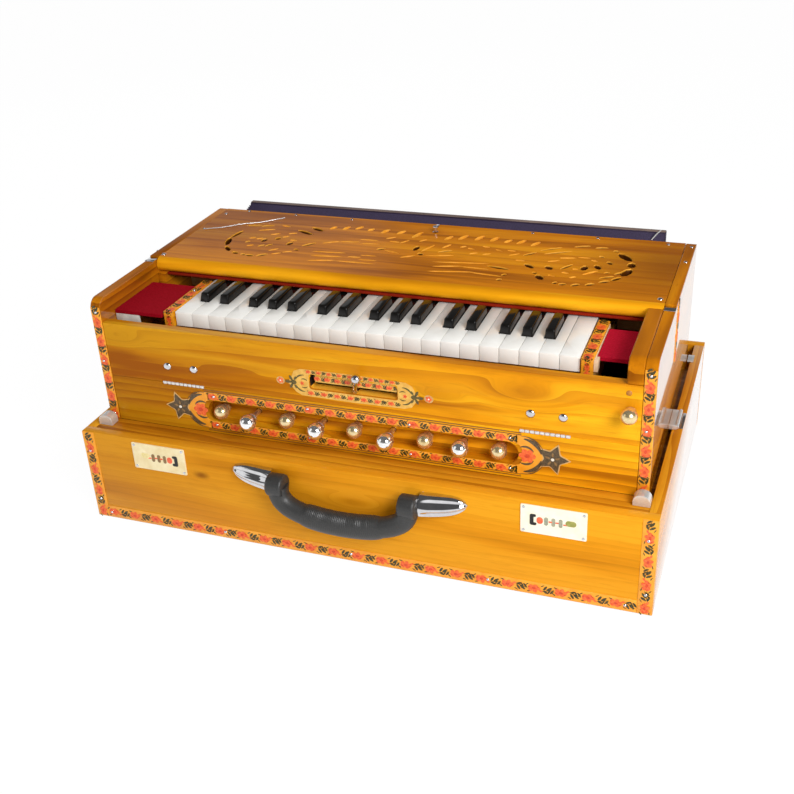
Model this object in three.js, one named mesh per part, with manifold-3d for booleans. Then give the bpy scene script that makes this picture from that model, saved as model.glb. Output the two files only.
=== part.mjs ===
// Folding hand harmonium in millimetres: X along the keyboard, front at -Y, Z up, origin under the case.
// A shallow carrying case holds the body. The body carries the stops, the sliding keyboard, the reed
// board and the hinged bellows.
import * as THREE from 'three';
import { mergeVertices } from 'three/addons/utils/BufferGeometryUtils.js';
import Module from 'manifold-3d';

const wasm = await Module();
wasm.setup();

// Clearances
const seatGap = 0.3; // left between pieces that touch
const overrun = 2; // how far a cutter passes the face it cuts, and a joined piece sinks in
const weld = 1e-4; // distance within which vertices are one

// Carrying case
const caseDepth = 414;
const caseHeight = 118.5;
const caseWall = 12;
const caseFloor = 10;
const ledgeDepth = 38; // from the case's front face
const ledgeThick = 12;
const cleatWidth = 18;
const cleatHeight = 12;

// Fittings on the case
const stopWidth = 18; // chrome corner stops on the ledge
const stopHeight = 13;
const stopThick = 13;
const stopSetback = 19;
const catchLength = 40;
const catchThick = 1.8;
const catchKnuckle = 2.2; // radius
const catchSetback = 181;
const catchSeatWidth = 4;
const catchDropShare = 0.6; // of the knuckle's radius, to the leaf's underside

// Carrying handle
const handleHeight = 97; // axis above the floor
const handleProud = 14; // axis in front of the case
const handleSpan = 152; // between the middles of the barrels
const barrelLength = 19;
const barrelRadius = 13;
const bowDrop = 38.5;
const bowOut = 3;
const gripWidth = 25;
const gripThick = 22;
const bowShares = [
  { across: 0.86, drop: 0.42, out: 0.3 },
  { across: 0.5, drop: 0.87, out: 0.8 },
];
const socketLength = 47;
const socketHalf = 14; // half height at its mouth
const socketProud = 15;
const socketDrop = 4; // of its mouth's middle, below the axis
const socketRise = 11;
const socketShares = [
  { along: 0, half: 1, proud: 1, rise: 0 },
  { along: 0.3, half: 0.94, proud: 0.93, rise: 0.36 },
  { along: 0.64, half: 0.7, proud: 0.68, rise: 0.86 },
  { along: 0.86, half: 0.38, proud: 0.4, rise: 1 },
  { along: 1, half: 0.08, proud: 0.12, rise: 0.95 },
];

// Body: heights are above its underside, depths behind its front plane
const sideGap = 4;
const bodySink = 10.5; // below the case's rim
const rearRoom = 79; // behind the keys, inside the body
const bodyHeight = 164.6;
const sideThick = 12.5;
const cheekThick = 11;
const bodyFloor = 10;
const bodyBack = 12;
const armPast = 6.7; // how far the arms' step lies behind the cover's front
const armDrop = 2.6;
const armRound = 8;
const armSpare = 5.5; // the right cheek's arm is thicker than the cheek by this
const armNose = 12; // rounding of the arm's front
const coverThick = 18;

// Stop panel, and the front board above it
const seamDrop = 24.65; // below the middle of the scale slot
const panelThick = 22;
const recessDepth = 13;
const recessHeight = 27;
const recessMargin = 19; // beyond the outer stops
const stopCount = 9;
const stopPitch = 40.5;
const stopShift = -2.2; // of the row, from the middle of the panel
const brassRadius = 8.8;
const chromeRadius = 9.6;
const neckRadius = 4.6;
const neckLength = 12.5; // from the ball's centre
const stopsDrawn = { 2: 15, 4: 12, 6: 13, 8: 6 }; // how far the chrome stops stand in front of the others
const rodRadius = 3;
const rodLength = 92;
const rodPlay = 0.5;
const boardThick = 12;
const boardDrop = 7; // its top edge, below the keys' tops
const couplerInset = 23.4; // from the body's side
const couplerRise = 38.3; // above the seam
const couplerProud = 11.7;
const couplerRadius = 8.5;
const couplerRod = 2.5; // radius
const couplerLength = 52;
const couplerPocket = 14;

// Keyboard
const octaves = 3;
const keyPitch = 21.03;
const keyGap = 0.6;
const tailGap = 0.8;
const keyboardShift = 3.8; // to the right of the middle
const keyFront = 33.7;
const coverClear = 4.6; // over the keys
const keyThick = 17;
const keyShown = 92; // in front of the cover
const keyLength = 190;
const headLength = 33;
const headGap = 1.2; // behind a white key's head, so that the black key clears it when pressed
const leverSetback = 6.3; // behind the cover's front
const leverDrop = 4;
const balance = 133; // from the key's front to its balance point
const blackWidth = 11.5;
const blackTopWidth = 10;
const blackRise = 9.5;
const blackLength = 48;
const blackSlope = 4;
const padThick = 2.5;
const padLength = 18;
const pinRadius = 1.2;
const pinHeight = 8;
const pinPlay = 0.7;
const pinRock = 1.4;

// Sliding frame under the keys
const railHeight = 27.7;
const railWidth = 17;
const ridgeWidth = 6;
const frontRailSetback = 2.3;
const frontRailWidth = 20;
const frontRailClear = 8.5; // under the keys at rest
const blockWidth = 12.6;
const blockGap = 1.2;
const blockSetforward = 2.5;
const slideRoom = 47.37; // beside the end blocks, with the keyboard in the middle
const crossRailHeight = 16.7;
const slotWidth = 100;
const slotHeight = 15.4;
const slotRound = 4;
const semitone = 12.25;
const notchRadius = 3.6;
const notchesLeft = 4;
const notchesRight = 3;
const shankRadius = 2.6;
const shankProud = 9;
const shankRise = 14.2;
const scaleKnobRadius = 5.5;
const bracketThick = 5;
const bracketHalf = 9;

// Reed board
const reedBoardThick = 14;
const reedBoardSetback = 5; // behind the balance rail
const reedCleat = 12;
const reedSlotWidth = 5;
const reedSlotLength = 12;
const reedPlateWidth = 9;
const reedPlateLength = 44;
const reedPlateThick = 3;

// Bellows
const bellowsWidth = 555;
const bellowsProud = 5.4; // how far the board stands above the body
const bellowsFoot = 14; // bottom edge above the body's underside
const bellowsThick = 8;
const foldSpace = 17; // between the body and the board when closed
const foldCount = 4;
const foldDepth = 7;
const foldInset = 5; // inside the board's edge
const hookHeight = 8;
const hookRadius = 2.5;
const hookReach = 12;
const hookWidth = 4;
const hookThick = 2;
const hookSetback = 28.5; // in front of the body's back
const hookShift = 1.8;

// Round pieces
const fineSides = 20;
const rodSides = 12;
const arcSteps = 8;
const gripSteps = 26;

// Places worked out from the sizes above
const whiteCount = octaves * 7 + 1;
const keySpan = whiteCount * keyPitch;
const wellHalf = keySpan / 2 + blockGap + blockWidth + slideRoom; // between the inner cheeks
const innerHalf = wellHalf + cheekThick; // between the outer side boards
const bodyHalf = innerHalf + sideThick;
const caseWidth = (bodyHalf + sideGap + caseWall) * 2;
const bodyDepth = keyFront + keyLength + rearRoom + bodyBack;
const bodyFrontY = -caseDepth / 2 + ledgeDepth + seatGap;
const bodyBottomZ = caseHeight - bodySink;
const armHeight = bodyHeight - armDrop;
const coverBottom = bodyHeight - coverThick;
const coverFront = keyFront + keyShown;
const armLength = coverFront + armPast;
const leverStart = keyShown + leverSetback;
const keyTop = coverBottom - coverClear;
const keyBottom = keyTop - keyThick;
const balanceY = keyFront + balance;
const frameBottom = keyBottom - seatGap - railHeight;
const keyLeft = keyboardShift - keySpan / 2;
const frontRailY = keyFront + frontRailSetback;
const slotZ = frameBottom - slotHeight / 4;
const seamHeight = slotZ - seamDrop;
const stopLine = (bodyFloor + seamHeight) / 2;
const bellowsRise = bodyHeight + bellowsProud - bellowsFoot;
const reedTop = keyBottom - padThick - seatGap;
const reedFront = balanceY + railWidth / 2 + reedBoardSetback;
const couplerX = bodyHalf - couplerInset;
const couplerZ = seamHeight + couplerRise;
const catchX = caseWidth / 2 - seatGap * 2 - catchSeatWidth - catchKnuckle;
const catchReach = catchX - bodyHalf - seatGap; // the leaf stops just short of the body

// Geometry helpers
function solid(geometry) {
  const plain = geometry.clone();
  plain.deleteAttribute('normal');
  plain.deleteAttribute('uv');
  const merged = mergeVertices(plain, weld);
  const vertProperties = new Float32Array(merged.attributes.position.array);
  const triVerts = new Uint32Array(merged.index.array);
  return new wasm.Manifold(new wasm.Mesh({ numProp: 3, vertProperties, triVerts }));
}

function surface(body) {
  const mesh = body.getMesh();
  const geometry = new THREE.BufferGeometry();
  geometry.setAttribute('position', new THREE.BufferAttribute(new Float32Array(mesh.vertProperties), 3));
  geometry.setIndex(new THREE.BufferAttribute(new Uint32Array(mesh.triVerts), 1));
  geometry.computeVertexNormals();
  return geometry;
}

function block(x0, x1, y0, y1, z0, z1) {
  const box = new THREE.BoxGeometry(x1 - x0, y1 - y0, z1 - z0);
  box.translate((x0 + x1) / 2, (y0 + y1) / 2, (z0 + z1) / 2);
  return solid(box);
}

function outline(points) {
  return new THREE.Shape(points.map(([a, b]) => new THREE.Vector2(a, b)));
}

function prism(shape, depth) {
  return new THREE.ExtrudeGeometry(shape, { depth, bevelEnabled: false, curveSegments: arcSteps });
}

// A shape drawn in y and z, and run along x
function alongX(shape, x0, x1) {
  const axes = new THREE.Matrix4().makeBasis(
    new THREE.Vector3(0, 1, 0),
    new THREE.Vector3(0, 0, 1),
    new THREE.Vector3(1, 0, 0),
  );
  return solid(prism(shape, x1 - x0).applyMatrix4(axes).translate(x0, 0, 0));
}

// A shape drawn in x and z, and run from y0 back to y1
function alongY(shape, y0, y1) {
  return solid(prism(shape, y1 - y0).rotateX(Math.PI / 2).translate(0, y1, 0));
}

function rodAlongY(radius, y0, y1, x, z, sides = rodSides) {
  const rod = new THREE.CylinderGeometry(radius, radius, y1 - y0, sides);
  return solid(rod.translate(x, (y0 + y1) / 2, z));
}

function rodAlongX(radius, x0, x1, y, z, sides = rodSides) {
  const rod = new THREE.CylinderGeometry(radius, radius, x1 - x0, sides);
  return solid(rod.rotateZ(Math.PI / 2).translate((x0 + x1) / 2, y, z));
}

function ball(radius, x, y, z) {
  return solid(new THREE.SphereGeometry(radius, rodSides, arcSteps).rotateX(Math.PI / 2).translate(x, y, z));
}

// A closed skin through rings of as many points each, turned outwards whatever way the rings run
function loft(rings) {
  const count = rings[0].length;
  const last = (rings.length - 1) * count;
  const index = [];
  for (let r = 0; r < rings.length - 1; r += 1) {
    for (let i = 0; i < count; i += 1) {
      const a = r * count + i;
      const b = r * count + ((i + 1) % count);
      index.push(a, b, b + count, a, b + count, a + count);
    }
  }
  for (let i = 1; i < count - 1; i += 1) {
    index.push(0, i + 1, i, last, last + i, last + i + 1);
  }
  const points = rings.flat();
  let volume = 0;
  for (let t = 0; t < index.length; t += 3) {
    const [a, b, c] = [points[index[t]], points[index[t + 1]], points[index[t + 2]]];
    volume += a.dot(new THREE.Vector3().crossVectors(b, c));
  }
  if (volume < 0) {
    index.reverse();
  }
  const geometry = new THREE.BufferGeometry();
  geometry.setAttribute('position', new THREE.Float32BufferAttribute(points.flatMap((p) => p.toArray()), 3));
  geometry.setIndex(index);
  return solid(geometry);
}

function rectangle(x0, x1, low, high, place) {
  return [[x0, low], [x1, low], [x1, high], [x0, high]].map(([x, v]) => place(x, v));
}

function stadium(length, height, x, z) {
  const r = height / 2;
  const shape = new THREE.Shape();
  shape.moveTo(x - length / 2 + r, z - r);
  shape.absarc(x + length / 2 - r, z, r, -Math.PI / 2, Math.PI / 2, false);
  shape.absarc(x - length / 2 + r, z, r, Math.PI / 2, Math.PI * 1.5, false);
  return shape;
}

function piece(name, body, color, roughness, metalness = 0) {
  const mesh = new THREE.Mesh(surface(body), new THREE.MeshStandardMaterial({ color, roughness, metalness }));
  mesh.name = name;
  return mesh;
}

// Case: an open tray with a ledge along its front, cleats for the body and chrome fittings
function handleSocket(side) {
  const mouth = handleSpan / 2 + barrelLength / 2 + seatGap;
  const rings = socketShares.map(({ along, half, proud, rise }) => {
    const x = side * (mouth + along * socketLength);
    const z = handleHeight - socketDrop + rise * socketRise;
    const ring = [];
    for (let i = 0; i <= arcSteps; i += 1) {
      const turn = -Math.PI / 2 + (Math.PI * i) / arcSteps;
      const y = -caseDepth / 2 - proud * socketProud * Math.cos(turn);
      ring.push(new THREE.Vector3(x, y, z + half * socketHalf * Math.sin(turn)));
    }
    ring.push(new THREE.Vector3(x, -caseDepth / 2 + overrun, z + half * socketHalf));
    ring.push(new THREE.Vector3(x, -caseDepth / 2 + overrun, z - half * socketHalf));
    return ring;
  });
  return loft(rings);
}

function cornerStop(side) {
  const r = stopWidth / 2;
  const x = side * (caseWidth / 2 - caseWall - r);
  const shape = new THREE.Shape();
  shape.moveTo(x - r, caseHeight - overrun);
  shape.lineTo(x + r, caseHeight - overrun);
  shape.absarc(x, caseHeight + stopHeight - r, r, 0, Math.PI, false);
  const y = -caseDepth / 2 + stopSetback;
  return alongY(shape, y, y + stopThick);
}

function catchSeat(side) {
  const outer = caseWidth / 2 - seatGap;
  const y = -caseDepth / 2 + catchSetback;
  const x = [side * outer, side * (outer - catchSeatWidth)].sort((a, b) => a - b);
  return block(x[0], x[1], y, y + catchLength, caseHeight - overrun, caseHeight + catchKnuckle);
}

function caseTray() {
  const halfW = caseWidth / 2;
  const halfD = caseDepth / 2;
  const inner = halfW - caseWall;
  let tray = block(-halfW, halfW, -halfD, halfD, 0, caseHeight);
  tray = tray.subtract(
    block(-inner, inner, -halfD + caseWall, halfD - caseWall, caseFloor, caseHeight + overrun),
  );
  const sunk = inner + overrun;
  tray = tray.add(
    block(-sunk, sunk, -halfD + caseWall - overrun, -halfD + ledgeDepth, caseHeight - ledgeThick, caseHeight),
  );
  const cleatTop = bodyBottomZ - seatGap;
  for (const side of [-1, 1]) {
    const x = [side * sunk, side * (inner - cleatWidth)].sort((a, b) => a - b);
    tray = tray.add(
      block(x[0], x[1], bodyFrontY, bodyFrontY + bodyDepth, cleatTop - cleatHeight, cleatTop),
    );
    tray = tray.add(handleSocket(side)).add(cornerStop(side)).add(catchSeat(side));
  }
  return piece('case_tray', tray, 0xd98f1f, 0.3);
}

function handleGrip() {
  const half = handleSpan / 2;
  const y = -caseDepth / 2 - handleProud;
  const arm = (side) => bowShares.map(({ across, drop, out }) => (
    new THREE.Vector3(side * half * across, y - bowOut * out, handleHeight - bowDrop * drop)
  ));
  const route = new THREE.CatmullRomCurve3([
    new THREE.Vector3(-half, y, handleHeight),
    ...arm(-1),
    new THREE.Vector3(0, y - bowOut, handleHeight - bowDrop),
    ...arm(1).reverse(),
    new THREE.Vector3(half, y, handleHeight),
  ]);
  const section = new THREE.Shape();
  section.absellipse(0, 0, gripThick / 2, gripWidth / 2, 0, Math.PI * 2, false, 0);
  const bow = new THREE.ExtrudeGeometry(section, {
    steps: gripSteps,
    extrudePath: route,
    bevelEnabled: false,
    curveSegments: arcSteps,
  });
  const reach = half + barrelLength / 2;
  const high = handleHeight + barrelRadius;
  const low = handleHeight - bowDrop - gripWidth;
  let grip = solid(bow).intersect(block(-reach, reach, y - bowOut - gripThick, y + gripThick, low, high));
  for (const side of [-1, 1]) {
    const x = side * half;
    grip = grip.add(
      rodAlongX(barrelRadius, x - barrelLength / 2, x + barrelLength / 2, y, handleHeight, fineSides),
    );
  }
  return piece('handle_grip', grip, 0x3b3b3d, 0.5);
}

function sideCatch(name, side) {
  const y = -caseDepth / 2 + catchSetback;
  const z = caseHeight + seatGap + catchKnuckle;
  const span = [side * -catchReach, 0].sort((a, b) => a - b);
  const knuckle = rodAlongY(catchKnuckle, 0, catchLength, 0, 0);
  const low = -catchKnuckle * catchDropShare;
  const leaf = block(span[0], span[1], 0, catchLength, low, low + catchThick);
  const mesh = piece(name, knuckle.add(leaf), 0xd8d6d2, 0.15, 1);
  mesh.position.set(side * catchX, y, z);
  return mesh;
}

// Body: floor, side boards with the lower arms in front, inner cheeks, back and rails
function sideBoard(side) {
  const shape = new THREE.Shape();
  shape.moveTo(0, 0);
  shape.lineTo(bodyDepth, 0);
  shape.lineTo(bodyDepth, bodyHeight);
  shape.lineTo(armLength, bodyHeight);
  shape.lineTo(armLength, armHeight);
  shape.absarc(armRound, armHeight - armRound, armRound, Math.PI / 2, Math.PI, false);
  const x = [side * bodyHalf, side * innerHalf].sort((a, b) => a - b);
  return alongX(shape, x[0], x[1]);
}

// The right cheek has an arm beside the keys that reaches over the front board; the left has none
function innerCheek(side) {
  const x = [side * (innerHalf + overrun), side * wellHalf].sort((a, b) => a - b);
  const low = bodyFloor - overrun;
  const back = bodyDepth - bodyBack + overrun;
  const lower = block(x[0], x[1], panelThick + seatGap, back, low, seamHeight);
  const rear = block(x[0], x[1], coverFront - overrun, back, low, coverBottom - seatGap);
  return lower.add(rear);
}

function rightArm() {
  const over = keyTop - boardDrop + seatGap;
  const shape = new THREE.Shape();
  shape.moveTo(0, over);
  shape.lineTo(boardThick + seatGap, over);
  shape.lineTo(boardThick + seatGap, seamHeight - seatGap);
  shape.lineTo(coverFront - seatGap, seamHeight - seatGap);
  shape.lineTo(coverFront - seatGap, armHeight);
  shape.absarc(armNose, armHeight - armNose, armNose, Math.PI / 2, Math.PI, false);
  return alongX(shape, wellHalf - armSpare, innerHalf + overrun);
}

function crossRail(y0, width) {
  const top = frameBottom - seatGap;
  return block(-innerHalf - overrun, wellHalf + overrun, y0, y0 + width, top - crossRailHeight, top);
}

function carcass() {
  let body = block(-bodyHalf, bodyHalf, 0, bodyDepth, 0, bodyFloor);
  body = body.add(
    block(-bodyHalf, bodyHalf, bodyDepth - bodyBack, bodyDepth, 0, coverBottom - seatGap),
  );
  const cleatTop = reedTop - reedBoardThick - seatGap;
  const back = bodyDepth - bodyBack + overrun;
  for (const side of [-1, 1]) {
    body = body.add(sideBoard(side)).add(innerCheek(side));
    const x = [side * (wellHalf + overrun), side * (wellHalf - reedCleat)].sort((a, b) => a - b);
    body = body.add(block(x[0], x[1], reedFront, back, cleatTop - reedCleat, cleatTop));
  }
  body = body.add(rightArm());
  body = body.add(crossRail(frontRailY, frontRailWidth)).add(crossRail(balanceY - railWidth / 2, railWidth));
  const pocketEnd = couplerLength - couplerProud + couplerPocket;
  body = body.subtract(
    block(
      wellHalf - armSpare - overrun,
      couplerX + couplerRod + seatGap * 2,
      boardThick,
      pocketEnd,
      couplerZ - couplerRod * 2,
      couplerZ + couplerRod * 2,
    ),
  );
  return piece('carcass', body, 0xc87a12, 0.3);
}

function stopPanel() {
  const half = innerHalf - seatGap;
  let panel = block(-half, half, 0, panelThick, bodyFloor + seatGap, seamHeight - seatGap);
  const recess = (stopCount - 1) * stopPitch + recessMargin * 2;
  panel = panel.subtract(alongY(stadium(recess, recessHeight, 0, stopLine), -overrun, recessDepth));
  for (let i = 0; i < stopCount; i += 1) {
    const x = stopShift + (i - (stopCount - 1) / 2) * stopPitch;
    panel = panel.subtract(rodAlongY(rodRadius + rodPlay, 0, panelThick + overrun, x, stopLine));
  }
  return piece('stop_panel', panel, 0xc77c16, 0.3);
}

// The scale slot's upper edge has a notch for each semitone that the keyboard can be set to
function frontBoard() {
  const half = innerHalf - seatGap;
  const shankX = keyboardShift;
  let board = block(-half, half, 0, boardThick, seamHeight, keyTop - boardDrop);
  const slot = new THREE.Shape();
  const [left, right] = [-slotWidth / 2, slotWidth / 2];
  const [low, high] = [slotZ - slotHeight / 2, slotZ + slotHeight / 2];
  slot.absarc(left + slotRound, low + slotRound, slotRound, Math.PI, Math.PI * 1.5, false);
  slot.absarc(right - slotRound, low + slotRound, slotRound, -Math.PI / 2, 0, false);
  slot.absarc(right - slotRound, high - slotRound, slotRound, 0, Math.PI / 2, false);
  slot.absarc(left + slotRound, high - slotRound, slotRound, Math.PI / 2, Math.PI, false);
  board = board.subtract(alongY(slot, -overrun, boardThick + overrun));
  for (let i = -notchesLeft; i <= notchesRight; i += 1) {
    const x = shankX + i * semitone;
    board = board.subtract(rodAlongY(notchRadius, -overrun, boardThick + overrun, x, high));
  }
  board = board.subtract(
    rodAlongY(couplerRod + rodPlay, -overrun, boardThick + overrun, couplerX, couplerZ),
  );
  return piece('front_board', board, 0xeba838, 0.28);
}

function topCover() {
  const r = coverThick / 2;
  const shape = new THREE.Shape();
  shape.moveTo(bodyDepth, coverBottom);
  shape.lineTo(bodyDepth, bodyHeight);
  shape.absarc(coverFront + r, bodyHeight - r, r, Math.PI / 2, Math.PI * 1.5, false);
  const half = innerHalf - seatGap;
  return piece('top_cover', alongX(shape, -half, half), 0xb3650f, 0.3);
}

function couplerKnob() {
  const knob = ball(couplerRadius, 0, 0, 0).add(rodAlongY(couplerRod, 0, couplerLength, 0, 0));
  const mesh = piece('coupler_knob', knob, 0xd9b777, 0.25, 1);
  mesh.position.set(couplerX, -couplerProud, couplerZ);
  return mesh;
}

// Odd stops are brass and pushed in, even ones chrome and drawn
function stopKnob(number) {
  const drawn = stopsDrawn[number] ?? 0;
  const radius = drawn > 0 ? chromeRadius : brassRadius;
  const neck = rodAlongY(neckRadius, 0, neckLength, 0, 0);
  const knob = ball(radius, 0, 0, 0).add(neck).add(rodAlongY(rodRadius, 0, rodLength, 0, 0));
  const mesh = piece(`stop_knob_${number}`, knob, drawn > 0 ? 0xd8d6d2 : 0xd9b777, 0.2, 1);
  const x = stopShift + (number - 1 - (stopCount - 1) / 2) * stopPitch;
  mesh.position.set(x, -drawn, stopLine);
  return mesh;
}

// Keys: where the tail of each of the 37 lies, from the left end of the keyboard
const noteNames = ['c', 'cs', 'd', 'ds', 'e', 'f', 'fs', 'g', 'gs', 'a', 'as', 'b'];
const keyGroups = [['c', 'cs', 'd', 'ds', 'e'], ['f', 'fs', 'g', 'gs', 'a', 'as', 'b']];

function keyPlaces() {
  const places = [];
  let start = 0;
  for (let octave = 0; octave < octaves; octave += 1) {
    for (const group of keyGroups) {
      const blacks = group.filter((note) => note.length > 1).length;
      const whites = group.length - blacks;
      const tail = (whites * keyPitch - blacks * blackWidth - group.length * tailGap) / whites;
      let left = start + tailGap / 2;
      let whitesDone = 0;
      for (const note of group) {
        const black = note.length > 1;
        const width = black ? blackWidth : tail;
        const head = start + whitesDone * keyPitch + keyGap / 2;
        places.push({ note, black, left, right: left + width, head });
        left += width + tailGap;
        whitesDone += black ? 0 : 1;
      }
      start += whites * keyPitch;
    }
  }
  const right = start + keyPitch - keyGap / 2;
  places.push({
    note: noteNames[0],
    black: false,
    left: start + tailGap / 2,
    right,
    head: start + keyGap / 2,
  });
  return places;
}

// A key's lever, with the felt pad that shuts its reeds and the slot for its balance pin
function lever(left, right, front) {
  const middle = (left + right) / 2;
  const width = Math.min(right - left, blackWidth);
  const [a, b] = [middle - width / 2, middle + width / 2];
  const rear = block(a, b, leverStart - overrun, keyLength, -keyThick, -leverDrop);
  const pad = block(a, b, keyLength - padLength, keyLength, -keyThick - padThick, -keyThick + overrun);
  const slot = block(
    middle - pinRadius - pinPlay,
    middle + pinRadius + pinPlay,
    balance - pinRadius - pinRock,
    balance + pinRadius + pinRock,
    -keyThick - overrun,
    -keyThick + pinHeight + overrun,
  );
  return front.add(rear).add(pad).subtract(slot);
}

function whiteKey(place) {
  const [left, right] = [place.left - place.head, place.right - place.head];
  const head = block(0, keyPitch - keyGap, 0, headLength, -keyThick, 0);
  const tail = block(left, right, headLength - overrun, leverStart, -keyThick, 0);
  return lever(left, right, head.add(tail));
}

function blackKey(place) {
  const width = place.right - place.left;
  const taper = (width - blackTopWidth) / 2;
  const front = headLength + headGap;
  const end = headLength + blackLength;
  const stem = block(0, width, front, leverStart, -keyThick, 0);
  const cap = loft([
    rectangle(0, width, front, end, (x, y) => new THREE.Vector3(x, y, -overrun)),
    rectangle(0, width, front, end, (x, y) => new THREE.Vector3(x, y, 0)),
    rectangle(taper, width - taper, headLength + blackSlope, end - taper, (x, y) => (
      new THREE.Vector3(x, y, blackRise)
    )),
  ]);
  return lever(0, width, stem.add(cap));
}

function keys() {
  return keyPlaces().map((place, i) => {
    const number = String(i + 1).padStart(2, '0');
    const name = `key_${number}_${place.note}`;
    const body = place.black ? blackKey(place) : whiteKey(place);
    const mesh = piece(name, body, place.black ? 0x141416 : 0xe8e6e0, place.black ? 0.15 : 0.3);
    mesh.position.set(place.black ? place.left : place.head, 0, 0);
    return mesh;
  });
}

// The frame that the keys ride in: two rails, end blocks, balance pins and the scale-changing lever
function keyFrame() {
  const bottom = frameBottom - keyTop;
  const left = -blockGap - blockWidth;
  const right = keySpan + blockGap + blockWidth;
  let frame = block(
    left,
    right,
    frontRailSetback,
    frontRailSetback + frontRailWidth,
    bottom,
    -keyThick - frontRailClear,
  );
  const half = railWidth / 2;
  const balanceRail = outline([
    [balance - half, bottom],
    [balance + half, bottom],
    [balance + half, -keyThick - seatGap - half],
    [balance + ridgeWidth / 2, -keyThick - seatGap],
    [balance - ridgeWidth / 2, -keyThick - seatGap],
    [balance - half, -keyThick - seatGap - half],
  ]);
  frame = frame.add(alongX(balanceRail, left, right));
  for (const start of [left, keySpan + blockGap]) {
    const side = block(
      start,
      start + blockWidth,
      frontRailSetback,
      balance + half,
      bottom,
      -keyThick - seatGap,
    );
    const top = block(
      start,
      start + blockWidth,
      -blockSetforward,
      keyShown,
      -keyThick - seatGap * 2,
      0,
    );
    frame = frame.add(side).add(top);
  }
  for (const place of keyPlaces()) {
    const pin = new THREE.CylinderGeometry(pinRadius, pinRadius, pinHeight + overrun, arcSteps);
    pin.rotateX(Math.PI / 2);
    const z = -keyThick - seatGap + (pinHeight - overrun) / 2;
    frame = frame.add(solid(pin.translate((place.left + place.right) / 2, balance, z)));
  }
  const x = keySpan / 2;
  const shankZ = slotZ - keyTop - slotHeight / 4;
  const front = frontRailSetback - bracketThick;
  const bracketLow = shankZ - shankRadius * 2;
  const [a, b] = [x - bracketHalf, x + bracketHalf];
  frame = frame.add(block(a, b, front, frontRailSetback - seatGap, bracketLow, bottom + bracketHalf));
  frame = frame.add(block(a, b, front, frontRailSetback + overrun, bottom, bottom + bracketHalf));
  const outside = -keyFront - seatGap * 2;
  frame = frame.add(rodAlongY(shankRadius, outside - shankRadius, front + overrun, x, shankZ));
  const bend = new THREE.LineCurve3(
    new THREE.Vector3(x, outside - shankRadius, shankZ),
    new THREE.Vector3(x, -keyFront - shankProud, shankZ + shankRise),
  );
  const round = new THREE.Shape();
  round.absarc(0, 0, shankRadius, 0, Math.PI * 2, false);
  const stem = new THREE.ExtrudeGeometry(round, {
    steps: 1,
    extrudePath: bend,
    bevelEnabled: false,
    curveSegments: arcSteps,
  });
  frame = frame.add(solid(stem)).add(ball(shankRadius, x, outside - shankRadius, shankZ));
  frame = frame.add(ball(scaleKnobRadius, x, -keyFront - shankProud, shankZ + shankRise));
  return piece('key_frame', frame, 0xb57a33, 0.5);
}

function reedBoard() {
  const half = wellHalf - seatGap;
  const back = bodyDepth - bodyBack - seatGap;
  const low = reedTop - reedBoardThick;
  let board = block(-half, half, reedFront, back, low, reedTop);
  const slotY = keyFront + keyLength - padLength / 2;
  for (const place of keyPlaces()) {
    const x = keyLeft + (place.left + place.right) / 2;
    board = board.add(
      block(
        x - reedPlateWidth / 2,
        x + reedPlateWidth / 2,
        slotY - reedSlotLength / 2 - overrun,
        slotY + reedPlateLength,
        low - reedPlateThick,
        low + overrun,
      ),
    );
    board = board.subtract(
      block(
        x - reedSlotWidth / 2,
        x + reedSlotWidth / 2,
        slotY - reedSlotLength / 2,
        slotY + reedSlotLength / 2,
        low - reedPlateThick - overrun,
        reedTop + overrun,
      ),
    );
  }
  return piece('reed_board', board, 0xb98a4a, 0.6);
}

// Bellows: a board on a hinge at its foot, and the folds between it and the body
function bellowsBoard() {
  const front = bodyDepth + foldSpace;
  const half = bellowsWidth / 2;
  const board = block(-half, half, front, front + bellowsThick, bellowsFoot, bellowsFoot + bellowsRise);
  return piece('bellows_board', board, 0x3b3050, 0.5);
}

function bellowsFolds() {
  const space = foldSpace - seatGap * 2;
  const low = bellowsFoot + foldInset;
  const high = bellowsFoot + bellowsRise - foldInset;
  const half = bellowsWidth / 2 - foldInset;
  const rings = [];
  for (let i = 0; i <= foldCount * 2; i += 1) {
    const y = bodyDepth + seatGap + (space * i) / (foldCount * 2);
    const inset = i % 2 === 0 ? foldDepth : 0;
    rings.push(
      rectangle(-half + inset, half - inset, low + inset, high - inset, (x, z) => new THREE.Vector3(x, y, z)),
    );
  }
  return piece('bellows_folds', loft(rings), 0x41345c, 0.8);
}

function bellowsCatch() {
  const post = new THREE.CylinderGeometry(hookRadius, hookRadius, hookHeight, rodSides);
  post.rotateX(Math.PI / 2).translate(0, 0, hookHeight / 2);
  const bar = block(
    -hookWidth / 2,
    hookWidth / 2,
    0,
    hookReach,
    hookHeight - hookThick * 2,
    hookHeight - hookThick,
  );
  const mesh = piece('bellows_catch', solid(post).add(bar), 0xd8d6d2, 0.15, 1);
  mesh.position.set(hookShift, bodyDepth - hookSetback, bodyHeight + seatGap);
  return mesh;
}

const keyboard = new THREE.Group();
keyboard.position.set(keyLeft, keyFront, keyTop);
keyboard.add(keyFrame());
for (const key of keys()) {
  keyboard.add(key);
}

const body = new THREE.Group();
body.position.set(0, bodyFrontY, bodyBottomZ);
body.add(carcass(), stopPanel(), frontBoard(), topCover(), reedBoard(), couplerKnob());
for (let number = 1; number <= stopCount; number += 1) {
  body.add(stopKnob(number));
}
body.add(keyboard, bellowsBoard(), bellowsFolds(), bellowsCatch());

const harmonium = new THREE.Group();
harmonium.add(caseTray(), handleGrip(), body);
harmonium.add(sideCatch('side_catch_left', -1), sideCatch('side_catch_right', 1));

export default harmonium;
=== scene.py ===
import math
from contextlib import contextmanager

import bpy
from mathutils import Matrix, Vector


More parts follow.
